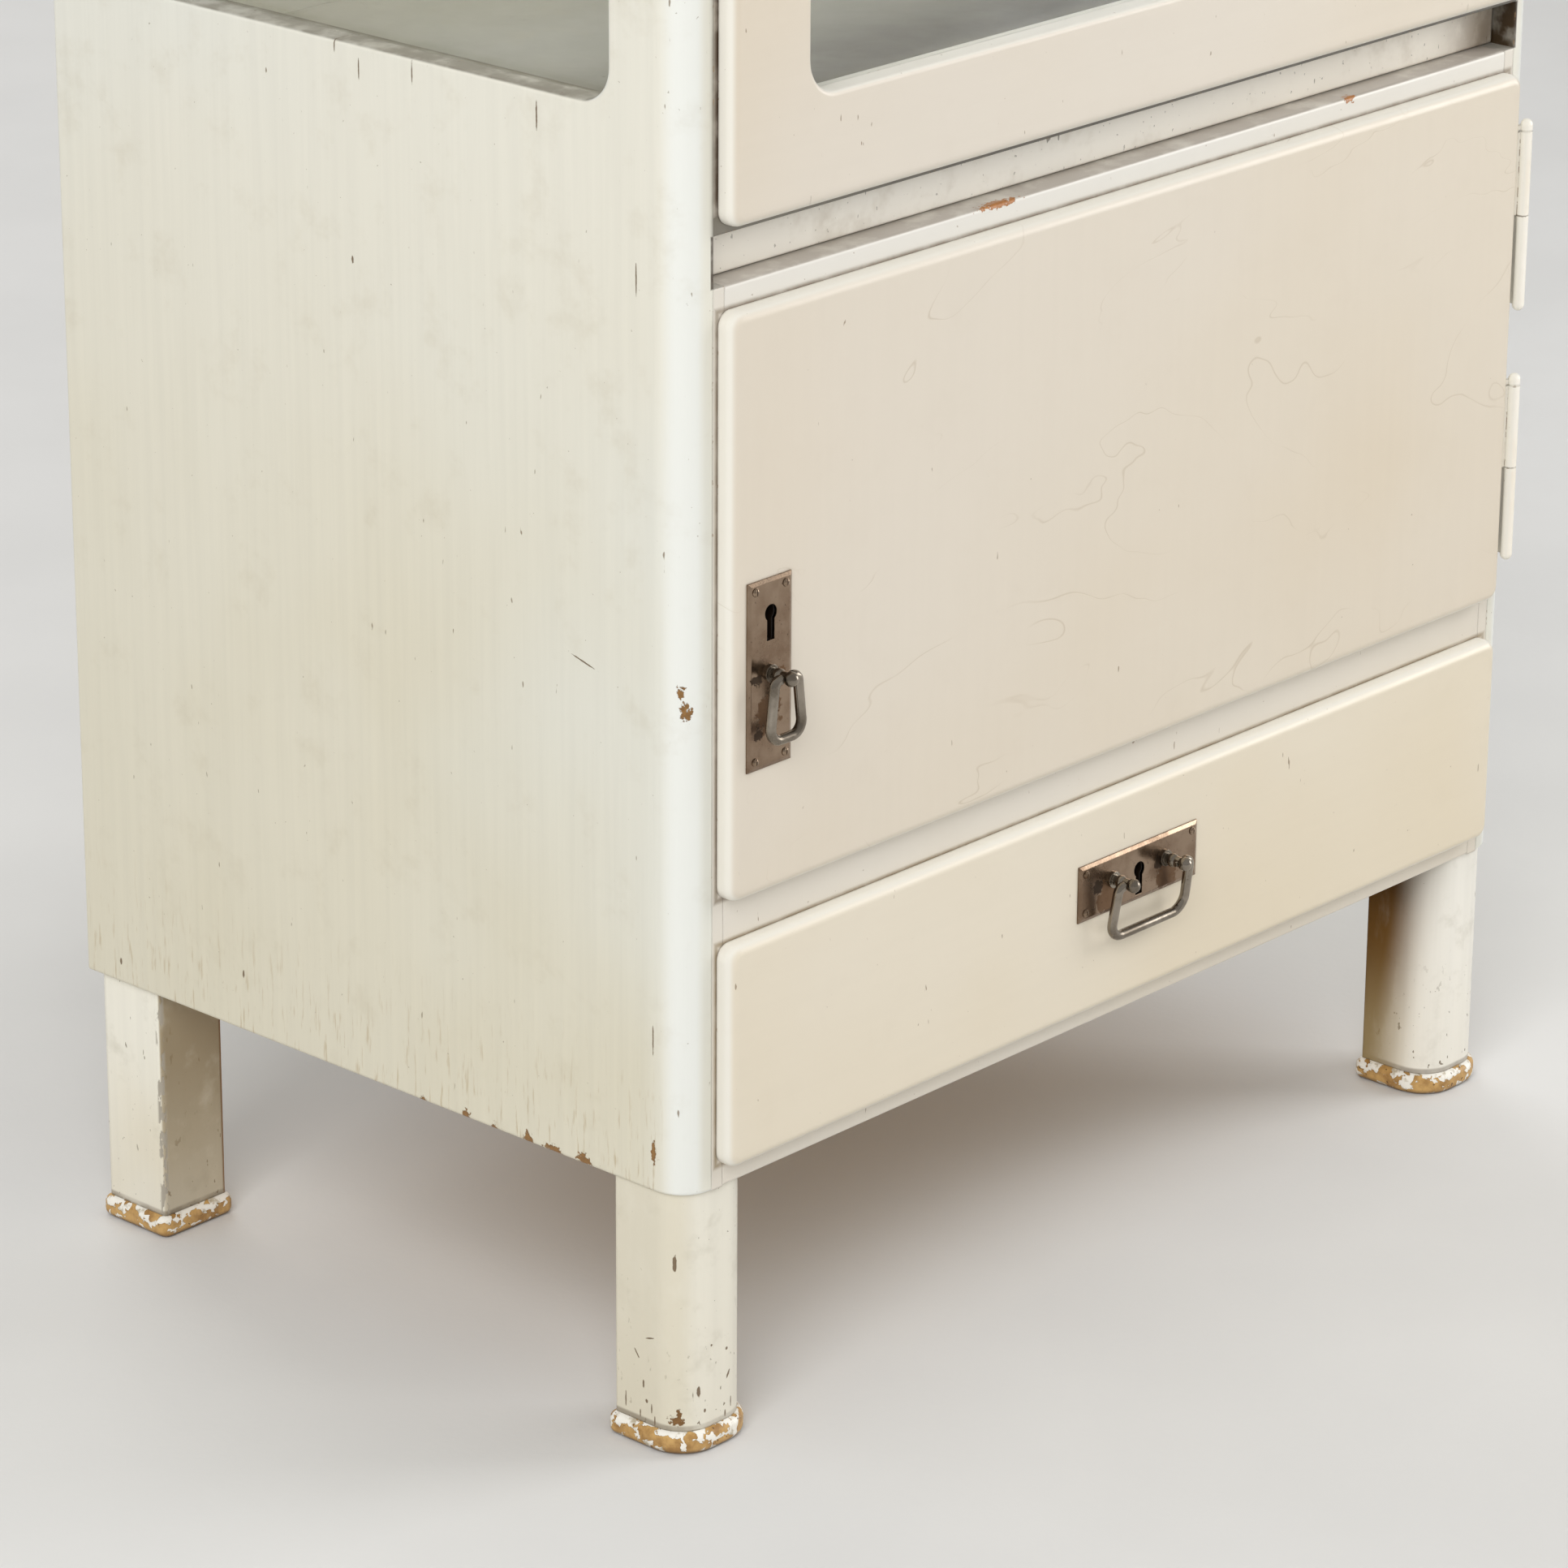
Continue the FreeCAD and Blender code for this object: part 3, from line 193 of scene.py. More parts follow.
def brushedCoat(made, look):
    # drifting tone, brush strokes, a warm tint low down (partly dirt, partly a painted warm reflection of the floor),
    # painted highlights on the turned lip edges and rounded corners, and a thin dirty film
    drift = made.cloud(look["drift"], 3, 0.55)
    warmth = made.times(made.band(drift, 0.36, 0.66, look.get("warmLeast", 0.0), 1.0), look["warmShare"])
    # the warm tint gathers low down: partly dirt, partly a painted warm reflection of the floor; cleanFront fades it
    # near the front
    if "warmDirtAndReflectionBelow" in look:
        warmth = made.times(warmth, made.band(made.z, *look["warmDirtAndReflectionBelow"]))
    if "cleanFront" in look:
        warmth = made.times(warmth, made.band(made.y, *look["cleanFront"], 0.3, 1.0))
    made.colour = shade(*look["base"])
    made.paint(warmth, look["warm"])
    coolness = made.band(made.cloud(look["drift"] * 0.8, 2, 0.5, shift=(4, 7, 2)), 0.48, 0.74)
    made.paint(made.times(coolness, 0.7), look["cool"])
    streak = made.cloud(look["streakScale"], 4, 0.6)
    made.colour = made.lit(made.colour, made.band(streak, 0.22, 0.78, 1 - look["streak"], 1 + look["streak"] * 0.6))
    made.height = made.maths("MULTIPLY_ADD", streak, 0.5, made.times(made.cloud(420, 2, 0.5), 0.12))
    turned = made.maths("ABSOLUTE", made.facing((0, 1, 0)))
    # painted highlight: lip sides and roundings that turn away from the front are painted paler
    if "lipHighlight" in look:
        made.paint(made.band(turned, 0.995, 0.55), look["lipHighlight"])
    # painted highlight along the rounded front corner
    if "cornerHighlight" in look:
        made.paint(made.times(made.band(turned, 0.1, 0.6), made.band(turned, 1.0, 0.9)), look["cornerHighlight"])
    made.paint(made.times(made.band(made.cloud(38, 4, 0.65), 0.52, 0.78), look["film"]), look["dirt"])


def smallMarks(made, look):
    # specks, short upright nicks, runs near the foot and fine lines in the coat
    fleck = made.band(made.cloud(look["fleckScale"], 2, 0.5), look["fleck"], look["fleck"] + 0.035)
    nick = made.band(made.cloud((330, 330, 90), 2, 0.5), look["nick"], look["nick"] + 0.03)
    marks = made.most(made.times(fleck, 0.55), made.times(nick, 0.8))
    if "runsBelow" in look:
        low, high = look["runsBelow"]
        runs = made.times(made.band(made.cloud((420, 420, 50), 3, 0.6), 0.55, 0.7), made.band(made.z, high, low))
        sideways = made.band(made.maths("ABSOLUTE", made.facing((0, 1, 0))), 0.3, 0.05)
        made.paint(made.times(runs, sideways, 0.5), look["runTone"])
    if "marksBelow" in look:
        low, high = look["marksBelow"]
        more = made.band(made.cloud((330, 330, 200), 2, 0.5, shift=(3, 1, 8)), 0.68, 0.71)
        marks = made.most(marks, made.times(more, made.band(made.z, high, low)))
    made.paint(marks, look["nickTone"])
    made.sink(marks, 0.6)
    if "crackle" in look:
        flow = made.cloud(look["crackleScale"], 4, 0.5, warp=0.5)
        line = made.maths("ABSOLUTE", made.maths("SUBTRACT", made.maths("FRACT", made.times(flow, 9.0)), 0.5))
        line = made.times(made.band(line, 0.012, 0.0), made.band(made.cloud(11, 3, 0.6, shift=(1, 5, 3)), 0.44, 0.6))
        made.paint(made.times(line, look["crackle"]), look["dirt"])
        made.sink(line, 0.5)
    return marks


def gatheredDirtAndShade(made, look):
    # dirt and painted shade in the gaps beside the lipped fronts, tones on faces that look one way (painted shade on
    # the rear legs' front faces), and washes along an axis
    for low, high, wide, strong, tone in look.get("gapDirtAndShade", ()):
        away = made.outside(low, high)
        # painted shade and dirt in the narrow gap beside each lip
        close = made.times(made.band(away, wide, 0.0), made.band(away, -0.0022, -0.0002))
        made.paint(made.times(close, made.band(made.cloud(60, 3, 0.6), 0.3, 0.6, 0.65, 1.0), strong), tone)
    for way, low, high, tone, strong in look.get("inner", ()):
        bare = made.times(made.band(made.facing(way), 0.35, 0.85), made.band(made.z, low, high, strong * 0.55, strong))
        made.paint(made.times(bare, made.band(made.cloud(55, 4, 0.6), 0.22, 0.5, 0.75, 1.0)), tone)
    for axis, low, high, tone, strong in look.get("washes", ()):
        wash = made.times(made.band(getattr(made, axis), low, high), strong)
        uneven = made.band(made.cloud(48, 4, 0.6), 0.25, 0.65, look.get("washLeast", 0.4), 1.0)
        made.paint(made.times(wash, uneven), tone)


def brokenCoat(made, look):
    # cracks and chips at listed spots
    if "cracks" in look:
        split = made.spots(look["cracks"], 1.2, 500)
        made.paint(made.times(split, 0.9), look["crackTone"])
        made.sink(split, 1.0)
    if "chips" in look:
        chip = made.spots(look["chips"], 3.0, 420)
        wood = made.mixed(made.cloud(500, 2, 0.5), shade(*look["chipTone"]), shade(*look["chipDark"]))
        made.colour = made.mixed(chip, made.colour, wood)
        made.sink(chip, 2.2)


def settledStainAndShade(made, look):
    # dirt and painted shade on level sills, a brown stain that fades to the front and to the foot and darkens into
    # painted shade under the rail, and flaked upright edges
    for low, high, tone, strong in look.get("sills", ()):
        # dirt and painted shade on the level sill
        level = made.band(made.facing((0, 0, 1)), 0.5, 0.92)
        sill = made.times(level, made.band(made.z, low - 0.001, low), made.band(made.z, high, high - 0.001))
        made.paint(made.times(sill, made.band(made.cloud(70, 3, 0.6), 0.3, 0.6, 0.6, 1.0), strong), tone)
    if "stain" in look:
        stain = look["stain"]
        # brown on the leg's inner face: partly brown paint, partly painted shade and a painted brown floor reflection;
        # it fades round the rounded corner like shading and is darkest, as painted shade, under the rail
        reach = made.band(made.maths("MULTIPLY_ADD", made.z, stain["slope"], made.y), stain["start"], stain["full"])
        brown = made.times(reach, made.band(made.facing(stain["way"]), -0.2, 0.5))
        brown = made.times(brown, made.band(made.cloud((60, 60, 20), 4, 0.6), 0.2, 0.5, 0.8, 1.0))
        tone = made.mixed(made.band(made.z, *stain["toneRise"]), shade(*stain["pale"]), shade(*stain["tone"]))
        tone = made.mixed(made.band(made.z, *stain["darkRise"]), tone, shade(*stain["dark"]))
        made.colour = made.mixed(brown, made.colour, tone)
        made.feed(made.shader.inputs["Specular IOR Level"], made.band(brown, 0.0, 1.0, 0.5, 0.08))
    for across, deep, radius, tone, start in look.get("wornLines", ()):
        flaked = made.band(made.beside(across, deep), radius, radius * 0.5)
        flaked = made.times(flaked, made.band(made.cloud((210, 210, 90), 3, 0.65), start, start + 0.05))
        made.paint(flaked, tone)
        made.sink(flaked, 1.5)


def darkPlaces(made, look):
    # painted shade at the ends of the slot over dark bare wood, and painted shade inside the keyholes
    for low, high, tone, strong in look.get("pools", ()):
        # painted shade, over dark bare wood, at the ends of the slot
        pool = made.times(made.band(made.outside(low, high), 0.0005, -0.0005), strong)
        made.paint(made.times(pool, made.band(made.cloud(90, 3, 0.6), 0.3, 0.6, 0.7, 1.0)), tone)
    for low, high in look.get("holes", ()):
        # painted shade: the paint behind each lock plate is near black where its keyhole shows it
        made.paint(made.band(made.outside(low, high), 0.0005, -0.0005), look["keyholeShade"])


def oilPaint(name, look):
    # brushed oil paint on wood; a look holds the tones, and lists the ageing that its piece shows
    made = Finish(name)
    brushedCoat(made, look)
    marks = smallMarks(made, look)
    gatheredDirtAndShade(made, look)
    brokenCoat(made, look)
    settledStainAndShade(made, look)
    darkPlaces(made, look)
    edge = made.worn(look["edgeRadius"], look.get("joints", ()))
    rub = made.times(made.band(edge, 0.03, 0.2), made.band(made.cloud(150, 3, 0.65), look["rub"], look["rub"] + 0.06))
    made.paint(rub, look["rubTone"])
    made.sink(rub, 0.8)
    rough = made.band(made.cloud(26, 4, 0.6), 0.3, 0.7, *look["rough"])
    return made.done(made.maths("ADD", rough, made.times(marks, 0.25)), look["relief"])


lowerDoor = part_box("lower_door_panel")
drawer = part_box("drawer_front")
upperRail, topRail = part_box("upper_door_bottom_rail"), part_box("upper_door_top_rail")
upperDoor = ((lowerDoor[0][0], 0, upperRail[0][2]), (lowerDoor[1][0], 0, topRail[1][2]))
# dark lines around the lipped fronts: painted shade in the gaps, and dirt
lipGapDirtAndShade = [
    (*lowerDoor, 0.0026, 0.75, (112, 90, 60)), (*drawer, 0.0024, 0.75, (138, 116, 78)),
    (*upperDoor, 0.0055, 1.0, (72, 54, 36))]
ledgeTop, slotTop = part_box("ledge_rail")[1][2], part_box("upper_floor")[0][2]
# the ends of the slot under the tray: painted shade over dark bare wood
slotEndShade = [
    ((side - 0.0835, 0, ledgeTop), (side + 0.0835, 0, slotTop), (64, 48, 28), 1.0) for side in (-0.2, 0.2)]
plateEdge = 0.002
# the paint behind each lock plate gets painted shade, seen through the keyhole
keyholes = []
for name in ("lower", "upper", "drawer"):
    low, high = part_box(name + "_lock_plate")
    keyholes.append(((low[0] + plateEdge, 0, low[2] + plateEdge), (high[0] - plateEdge, 0, high[2] - plateEdge)))

coatLook = {
    "base": (230, 227, 214), "warm": (210, 201, 173), "cool": (227, 228, 220), "dirt": (176, 162, 130),
    # the warm tint low down is partly dirt, partly a painted floor reflection
    "drift": 3.4, "warmShare": 0.9, "warmLeast": 0.6, "warmDirtAndReflectionBelow": (0.68, 0.14), "cleanFront": (-0.178, -0.155),
    "streak": 0.03, "streakScale": (210, 210, 6), "film": 0.16, "crackTone": (104, 80, 50),
    "fleckScale": 420, "fleck": 0.745, "nick": 0.745, "nickTone": (128, 110, 86),
    "rub": 0.60, "rubTone": (150, 118, 78), "rough": (0.32, 0.44), "relief": 0.00012, "edgeRadius": 0.0016,
}
# the side paint's rounded front corner gets a painted highlight
sideLook = dict(
    coatLook, gapDirtAndShade=lipGapDirtAndShade, pools=slotEndShade, sills=[(0.6, 0.63, (110, 102, 86), 0.8)], cornerHighlight=(232, 233, 227),
    runsBelow=(0.125, 0.21), runTone=(172, 146, 100), chipTone=(164, 120, 62), chipDark=(100, 70, 38),
    cracks=[
        (-0.3, -0.098, 0.606, 0.02, 0.0005, 0.007), (-0.3, -0.023, 0.611, 0.02, 0.0004, 0.005),
        (-0.3, 0.010, 0.607, 0.02, 0.0004, 0.005), (-0.3, 0.025, 0.615, 0.02, 0.0004, 0.004),
        (-0.3, -0.156, 0.546, 0.02, 0.0004, 0.008), (-0.3, -0.165, 0.201, 0.02, 0.0004, 0.008),
        (-0.3, -0.124, 0.367, 0.02, 0.0080, 0.0004, (0.26, 0, 0)), (-0.3, 0.099, 0.157, 0.02, 0.0007, 0.002),
        (-0.3, 0.016, 0.520, 0.02, 0.0007, 0.002), (-0.3, 0.185, 0.139, 0.02, 0.0008, 0.002)],
    chips=[
        (-0.3, -0.087, 0.129, 0.02, 0.0026, 0.0042), (-0.3, -0.103, 0.129, 0.02, 0.0050, 0.0026),
        (-0.3, -0.122, 0.130, 0.02, 0.0040, 0.0034), (-0.3, -0.048, 0.129, 0.02, 0.0024, 0.0036),
        (-0.3, -0.066, 0.128, 0.02, 0.0030, 0.0028), (-0.3, -0.020, 0.128, 0.02, 0.0030, 0.0022),
        (-0.3, -0.165, 0.147, 0.02, 0.0014, 0.0050), (-0.294, -0.179, 0.356, 0.0026, 0.0026, 0.0042),
        (-0.296, -0.178, 0.365, 0.0018, 0.0018, 0.0028)])
dress(oilPaint("sidePaint", sideLook), "left_side_panel", "right_side_panel", "top_board", "side_glazing_beads")
print("sides done")

frontLook = {
    "base": (221, 211, 195), "warm": (217, 202, 178), "cool": (222, 214, 202), "dirt": (170, 150, 120),
    "drift": 3.0, "warmShare": 0.6, "streak": 0.008, "streakScale": (8, 8, 190), "film": 0.03,
    "fleckScale": 380, "fleck": 0.755, "nick": 0.76, "nickTone": (140, 118, 92),
    "rub": 0.62, "rubTone": (170, 136, 96), "rough": (0.30, 0.40), "relief": 0.00008, "edgeRadius": 0.0014,
    # front paints get a painted highlight on their lip edges
    "holes": keyholes, "keyholeShade": (30, 22, 16), "lipHighlight": (232, 228, 217),
}
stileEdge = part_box("upper_door_left_stile")[1][0]
sillLow, sillHigh = upperRail[1][2], topRail[0][2]
# the sill under the door's glass is painted dark: dirt and painted shade
glazedLook = dict(
    frontLook, sills=[(sillLow - 0.012, sillLow + 0.002, (104, 94, 76), 0.85)],
    joints=[((side * stileEdge - 0.003, 0, low), (side * stileEdge + 0.003, 0, high)) for side in (-1, 1)
            for low, high in ((upperDoor[0][2] + 0.006, sillLow - 0.006), (sillHigh + 0.006, upperDoor[1][2] - 0.006))])
dress(oilPaint("frontPaint", glazedLook), "upper_door_left_stile", "upper_door_right_stile", "upper_door_top_rail",
      "upper_door_bottom_rail", "upper_door_beads")
doorLook = dict(
    frontLook, base=(221, 210, 192), warm=(217, 201, 175), cool=(222, 213, 199), fleck=0.775, nick=0.785,
    crackle=0.30, crackleScale=(3.6, 3.6, 7.0), streakScale=(150, 150, 9))
dress(oilPaint("doorPaint", doorLook), "lower_door_panel")
drawerLook = dict(frontLook, base=(228, 218, 199), warm=(223, 209, 182), cool=(228, 220, 204), warmShare=0.7)
dress(oilPaint("drawerPaint", drawerLook), "drawer_front")
railLook = dict(
    frontLook, base=(225, 218, 206), warm=(220, 209, 190), cool=(225, 220, 211), gapDirtAndShade=lipGapDirtAndShade, pools=slotEndShade)
dress(oilPaint("railPaint", railLook), "bottom_rail", "drawer_rail", "front_strips", "top_rail")
ledgeLook = dict(
    frontLook, base=(229, 225, 216), warm=(224, 216, 203), cool=(229, 226, 219), gapDirtAndShade=lipGapDirtAndShade,
    washes=[("z", ledgeTop - 0.0009, ledgeTop - 0.0003, (184, 176, 166), 1.2)],
    chips=[(-0.098, -0.1835, ledgeTop, 0.0125, 0.004, 0.0022), (0.154, -0.1835, ledgeTop, 0.0045, 0.003, 0.0025)],
    chipTone=(196, 132, 70), chipDark=(140, 88, 44))
dress(oilPaint("ledgePaint", ledgeLook), "ledge_rail", "ledge_board")
# the tray edge is painted near white: partly its own paler paint, partly painted light that makes up for the shade
# under the upper door
trayLook = dict(
    frontLook, base=(254, 247, 233), warm=(252, 241, 222), cool=(254, 250, 240), fleck=0.70, nick=0.725, film=0.3,
    nickTone=(130, 120, 104), washes=[
        ("x", 0.225, 0.275, (120, 96, 66), 0.75), ("z", slotTop - 0.007, slotTop - 0.001, (164, 152, 130), 0.6)])
dress(oilPaint("trayPaint", trayLook), "tray_front_edge")
hingeLook = dict(
    frontLook, base=(246, 241, 230), warm=(238, 226, 204), cool=(245, 242, 234), drift=22.0,
    streakScale=(260, 260, 40), rub=0.50, rubTone=(120, 92, 62), edgeRadius=0.0010, rough=(0.28, 0.4))
dress(oilPaint("hingePaint", hingeLook), "lower_door_hinges", "upper_door_hinges", "frame_hinges")
print("front done")

legLook = dict(
    # the legs' warm tint near the foot is partly dirt, partly a painted floor reflection
    coatLook, base=(232, 227, 212), warm=(222, 210, 182), cool=(231, 228, 217), warmDirtAndReflectionBelow=(0.12, 0.0), warmLeast=0.2,
    film=0.35, dirt=(164, 156, 132), marksBelow=(0.0, 0.09), fleck=0.735, nick=0.73, nickTone=(112, 96, 74),
    rub=0.56, rubTone=(140, 116, 84), washes=[("z", 0.0143, 0.0128, (92, 72, 50), 0.6)])
# the dark tone at the top is painted shade under the rail
legStainAndShade = {
    "way": (-1, 0, 0), "slope": 0.13, "start": -0.170, "full": -0.140, "toneRise": (0.02, 0.085),
    "darkRise": (0.08, 0.125), "pale": (156, 136, 98), "tone": (116, 84, 42), "dark": (70, 45, 18)}
leftLegLook = dict(
    legLook, stain=dict(legStainAndShade, way=(1, 0, 0)), inner=[((-1, 0, 0), 0.2, 0.1, (214, 206, 184), 0.7)],
    cracks=[
        (-0.296, -0.174, 0.094, 0.003, 0.0010, 0.0042, (0, 0, 0.56)),
        (-0.287, -0.18, 0.03, 0.003, 0.0009, 0.0030, (0, 0, 1.2)),
        (-0.269, -0.182, 0.033, 0.0006, 0.003, 0.0024, (0, 0.5, 0)),
        (-0.28, -0.182, 0.051, 0.0007, 0.003, 0.0007), (-0.27, -0.182, 0.046, 0.0007, 0.003, 0.0008),
        (-0.284, -0.181, 0.02, 0.0007, 0.003, 0.0011), (-0.298, -0.157, 0.03, 0.003, 0.0006, 0.0022),
        (-0.298, -0.159, 0.022, 0.003, 0.0008, 0.0010),
        (-0.298, -0.153, 0.044, 0.003, 0.0004, 0.0028, (-0.6, 0, 0)),
        (-0.298, -0.161, 0.054, 0.003, 0.0028, 0.0004, (-0.3, 0, 0)),
        (-0.298, -0.146, 0.019, 0.003, 0.0004, 0.0044), (-0.298, -0.155, 0.015, 0.003, 0.0004, 0.0022),
        (-0.298, -0.164, 0.014, 0.003, 0.0004, 0.0026), (-0.267, -0.182, 0.019, 0.0004, 0.003, 0.0030),
        (-0.271, -0.182, 0.014, 0.0005, 0.003, 0.0020), (-0.298, -0.162, 0.019, 0.003, 0.0004, 0.0026)],
    chips=[
        (-0.295, -0.174, 0.016, 0.003, 0.0042, 0.0024, (0, 0, 0.58)),
        (-0.294, -0.175, 0.019, 0.003, 0.0012, 0.0034, (0, 0, 0.65))],
    chipTone=(146, 104, 52), chipDark=(96, 66, 34))
dress(oilPaint("leftLegPaint", leftLegLook), "front_left_leg")
# painted light: the right leg is painted lighter than the left to make up for the shade under the cabinet
rightLegLook = dict(legLook, base=(240, 236, 226), warm=(232, 222, 200), stain=legStainAndShade)
dress(oilPaint("rightLegPaint", rightLegLook), "front_right_leg")
legLow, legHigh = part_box("rear_right_leg")
legEdges = ((legHigh[0], 0.0036, (168, 160, 146), 0.49), (legLow[0], 0.0026, (146, 100, 42), 0.2))
rearLegLook = dict(
    legLook, base=(240, 236, 222), rub=0.46, rubTone=(150, 140, 122), edgeRadius=0.003, drift=6.0,
    # the front faces are painted dark brown: painted shade under the cabinet, partly brown paint
    inner=[((0, -1, 0), 0.0, 0.1, (150, 132, 100), 0.9)],
    wornLines=[(side * across, legLow[1], *edge) for side in (-1, 1) for across, *edge in legEdges])
dress(oilPaint("rearLegPaint", rearLegLook), "rear_left_leg", "rear_right_leg")

footLook = {
    "ochre": (202, 162, 100), "ochreDark": (156, 116, 64), "flake": (242, 238, 228), "flakeDark": (186, 174, 150),
    "earth": (96, 68, 40), "joint": (148, 132, 106), "flakeSize": (150, 150, 190), "topEdge": 0.0135,
    "edgeRadius": 0.0015, "rough": (0.38, 0.6), "relief": 0.0004,
}


def footPaint(look):
    # ochre coat under flakes of the leg's white, which stay longest along the top edge
    made = Finish("footPaint")
    ochre = made.mixed(made.band(made.cloud(130, 4, 0.6), 0.35, 0.7), shade(*look["ochre"]), shade(*look["ochreDark"]))
    white = made.mixed(made.band(made.cloud(220, 3, 0.6), 0.5, 0.7), shade(*look["flake"]), shade(*look["flakeDark"]))
    spread = made.cloud(look["flakeSize"], 3, 0.55, warp=0.4)
    rise = made.band(made.z, 0.004, look["topEdge"], -0.04, 0.06)
    flake = made.band(made.maths("ADD", spread, rise), 0.50, 0.515)
    made.colour = made.mixed(flake, ochre, white)
    joint = made.band(made.z, look["topEdge"] - 0.0005, look["topEdge"])
    made.paint(made.times(joint, made.band(made.cloud(160, 3, 0.6), 0.4, 0.6), 0.6), look["joint"])
    speck = made.band(made.cloud(380, 2, 0.5), 0.69, 0.72)
    made.paint(made.times(speck, 0.8), look["earth"])
    sole = made.band(made.z, 0.0035, 0.0)
    made.paint(made.times(sole, 0.75), look["earth"])
    edge = made.worn(look["edgeRadius"])
    rub = made.times(made.band(edge, 0.03, 0.2), made.band(made.cloud(170, 3, 0.6), 0.56, 0.62))
    made.paint(rub, look["earth"])
    made.height = made.maths("MULTIPLY_ADD", made.cloud(260, 3, 0.6), 0.25, flake)
    made.sink(made.most(speck, rub), 0.7)
    return made.done(made.band(made.cloud(90, 3, 0.6), 0.3, 0.7, *look["rough"]), look["relief"])


dress(footPaint(footLook), "foot_pads")
print("legs done")

# the inside is painted darker than the outside as painted shade in the closed cabinet; the back panel's outer face
# keeps a paler tone
shadedInnerLook = dict(
    coatLook, base=(172, 168, 153), warm=(162, 155, 135), cool=(170, 168, 158),
    inner=[((0, 1, 0), 0.1, 0.2, (208, 203, 187), 1.0)])
dress(oilPaint("shadedInnerPaint", shadedInnerLook), "back_panel")
# the upper floor takes the painted shade of the inside, and is painted darker still towards the front and the left
shadedFloorLook = dict(
    shadedInnerLook, inner=(), washLeast=0.85,
    washes=[("y", 0.06, -0.06, (100, 94, 84), 1.0), ("x", -0.12, -0.24, (128, 122, 109), 0.8)])
dress(oilPaint("shadedFloorPaint", shadedFloorLook), "upper_floor")
print("inside done")

nickelLook = {
    "bright": (148, 128, 109), "dull": (124, 102, 83), "tarnish": (98, 66, 36), "dark": (46, 34, 24),
    "rough": (0.16, 0.30), "edgeRadius": 0.0004, "relief": 0.00004,
}


def tarnishedNickel(name, look, tarnish, stains=(), pullShadows=()):
    # warm worn plating with cloudy stains; listed stains sit where hands and rings rub, and listed spots beside the
    # pulls are painted shadows of the rings and bail posts
    made = Finish(name)
    haze = made.band(made.cloud(60, 4, 0.6), 0.34, 0.7)
    made.colour = shade(*look["bright"])
    made.paint(haze, look["dull"])
    stain = made.band(made.cloud(150, 4, 0.6, warp=0.6), 1 - tarnish, 1.16 - tarnish)
    if stains:
        stain = made.most(stain, made.times(made.spots(stains, 2.6, 260), 0.85))
    made.paint(made.times(stain, 0.8), look["tarnish"])
    pit = made.band(made.cloud(900, 2, 0.5), 0.70, 0.74)
    edge = made.worn(look["edgeRadius"])
    grime = made.times(made.band(edge, 0.10, 0.35), made.band(made.cloud(300, 3, 0.6), 0.5, 0.66))
    dark = made.most(made.times(pit, 0.6), made.times(grime, 0.7))
    # painted shadows of the rings and bail posts on the plate
    if pullShadows:
        dark = made.most(dark, made.times(made.spots(pullShadows, 2.2, 420), 0.8))
    made.paint(dark, look["dark"])
    made.height = made.times(made.cloud((900, 900, 60), 2, 0.5), 0.35)
    made.sink(made.most(pit, stain), 0.4)
    made.shader.inputs["Metallic"].default_value = 1.0
    rough = made.band(haze, 0.0, 1.0, *look["rough"])
    return made.done(made.maths("ADD", rough, made.times(made.most(stain, dark), 0.22)), look["relief"])


# stains are tarnish; the spots left of each ring and post are painted shadows of them
stains, pullShadows = [], []
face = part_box("lower_lock_plate")[0][1]
for name in ("lower", "upper"):
    low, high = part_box(name + "_ring")
    across = (low[0] + high[0]) / 2
    stains.append((across - 0.001, face, low[2] + 0.012, 0.007, 0.004, 0.010))
    stains.append((across + 0.006, face, high[2] - 0.006, 0.004, 0.004, 0.004))
    pullShadows.append((across - 0.008, face, low[2] + 0.003, 0.003, 0.004, 0.003))
    pullShadows.append((across - 0.009, face, high[2] - 0.004, 0.003, 0.004, 0.003))
low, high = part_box("drawer_bail")
for side in (low[0] + 0.006, high[0] - 0.008):
    stains.append((side, face, high[2] - 0.010, 0.007, 0.004, 0.010))
    pullShadows.append((side - 0.007, face, high[2] - 0.003, 0.003, 0.004, 0.004))
dress(tarnishedNickel("plateNickel", nickelLook, 0.30, stains, pullShadows),
      "upper_lock_plate", "lower_lock_plate", "drawer_lock_plate")
pullLook = dict(nickelLook, bright=(154, 145, 133), dull=(114, 105, 93))
dress(tarnishedNickel("pullNickel", pullLook, 0.26), "upper_ring", "lower_ring", "drawer_bail",
      "upper_ring_post", "lower_ring_post", "drawer_pull_posts")
screwLook = dict(nickelLook, bright=(158, 138, 118), dull=(118, 98, 78), tarnish=(84, 58, 36))
dress(tarnishedNickel("screwNickel", screwLook, 0.5),
      "upper_plate_screws", "lower_plate_screws", "drawer_plate_screws")
dress(tarnishedNickel("pinNickel", nickelLook, 0.3), "shelf_pins")
ironLook = dict(nickelLook, bright=(112, 110, 106), dull=(84, 80, 74), tarnish=(98, 62, 38), rough=(0.4, 0.6))
dress(tarnishedNickel("lockIron", ironLook, 0.42), "upper_lock_case", "lower_lock_case", "drawer_lock_case",
      "upper_bolt", "lower_bolt", "drawer_bolt")
print("metal done")

woodLook = {
    "pale": (198, 164, 116), "grain": (150, 108, 64), "grey": (150, 136, 112), "rubTone": (120, 84, 50),
    "rough": (0.55, 0.75), "edgeRadius": 0.0012, "relief": 0.00025,
}


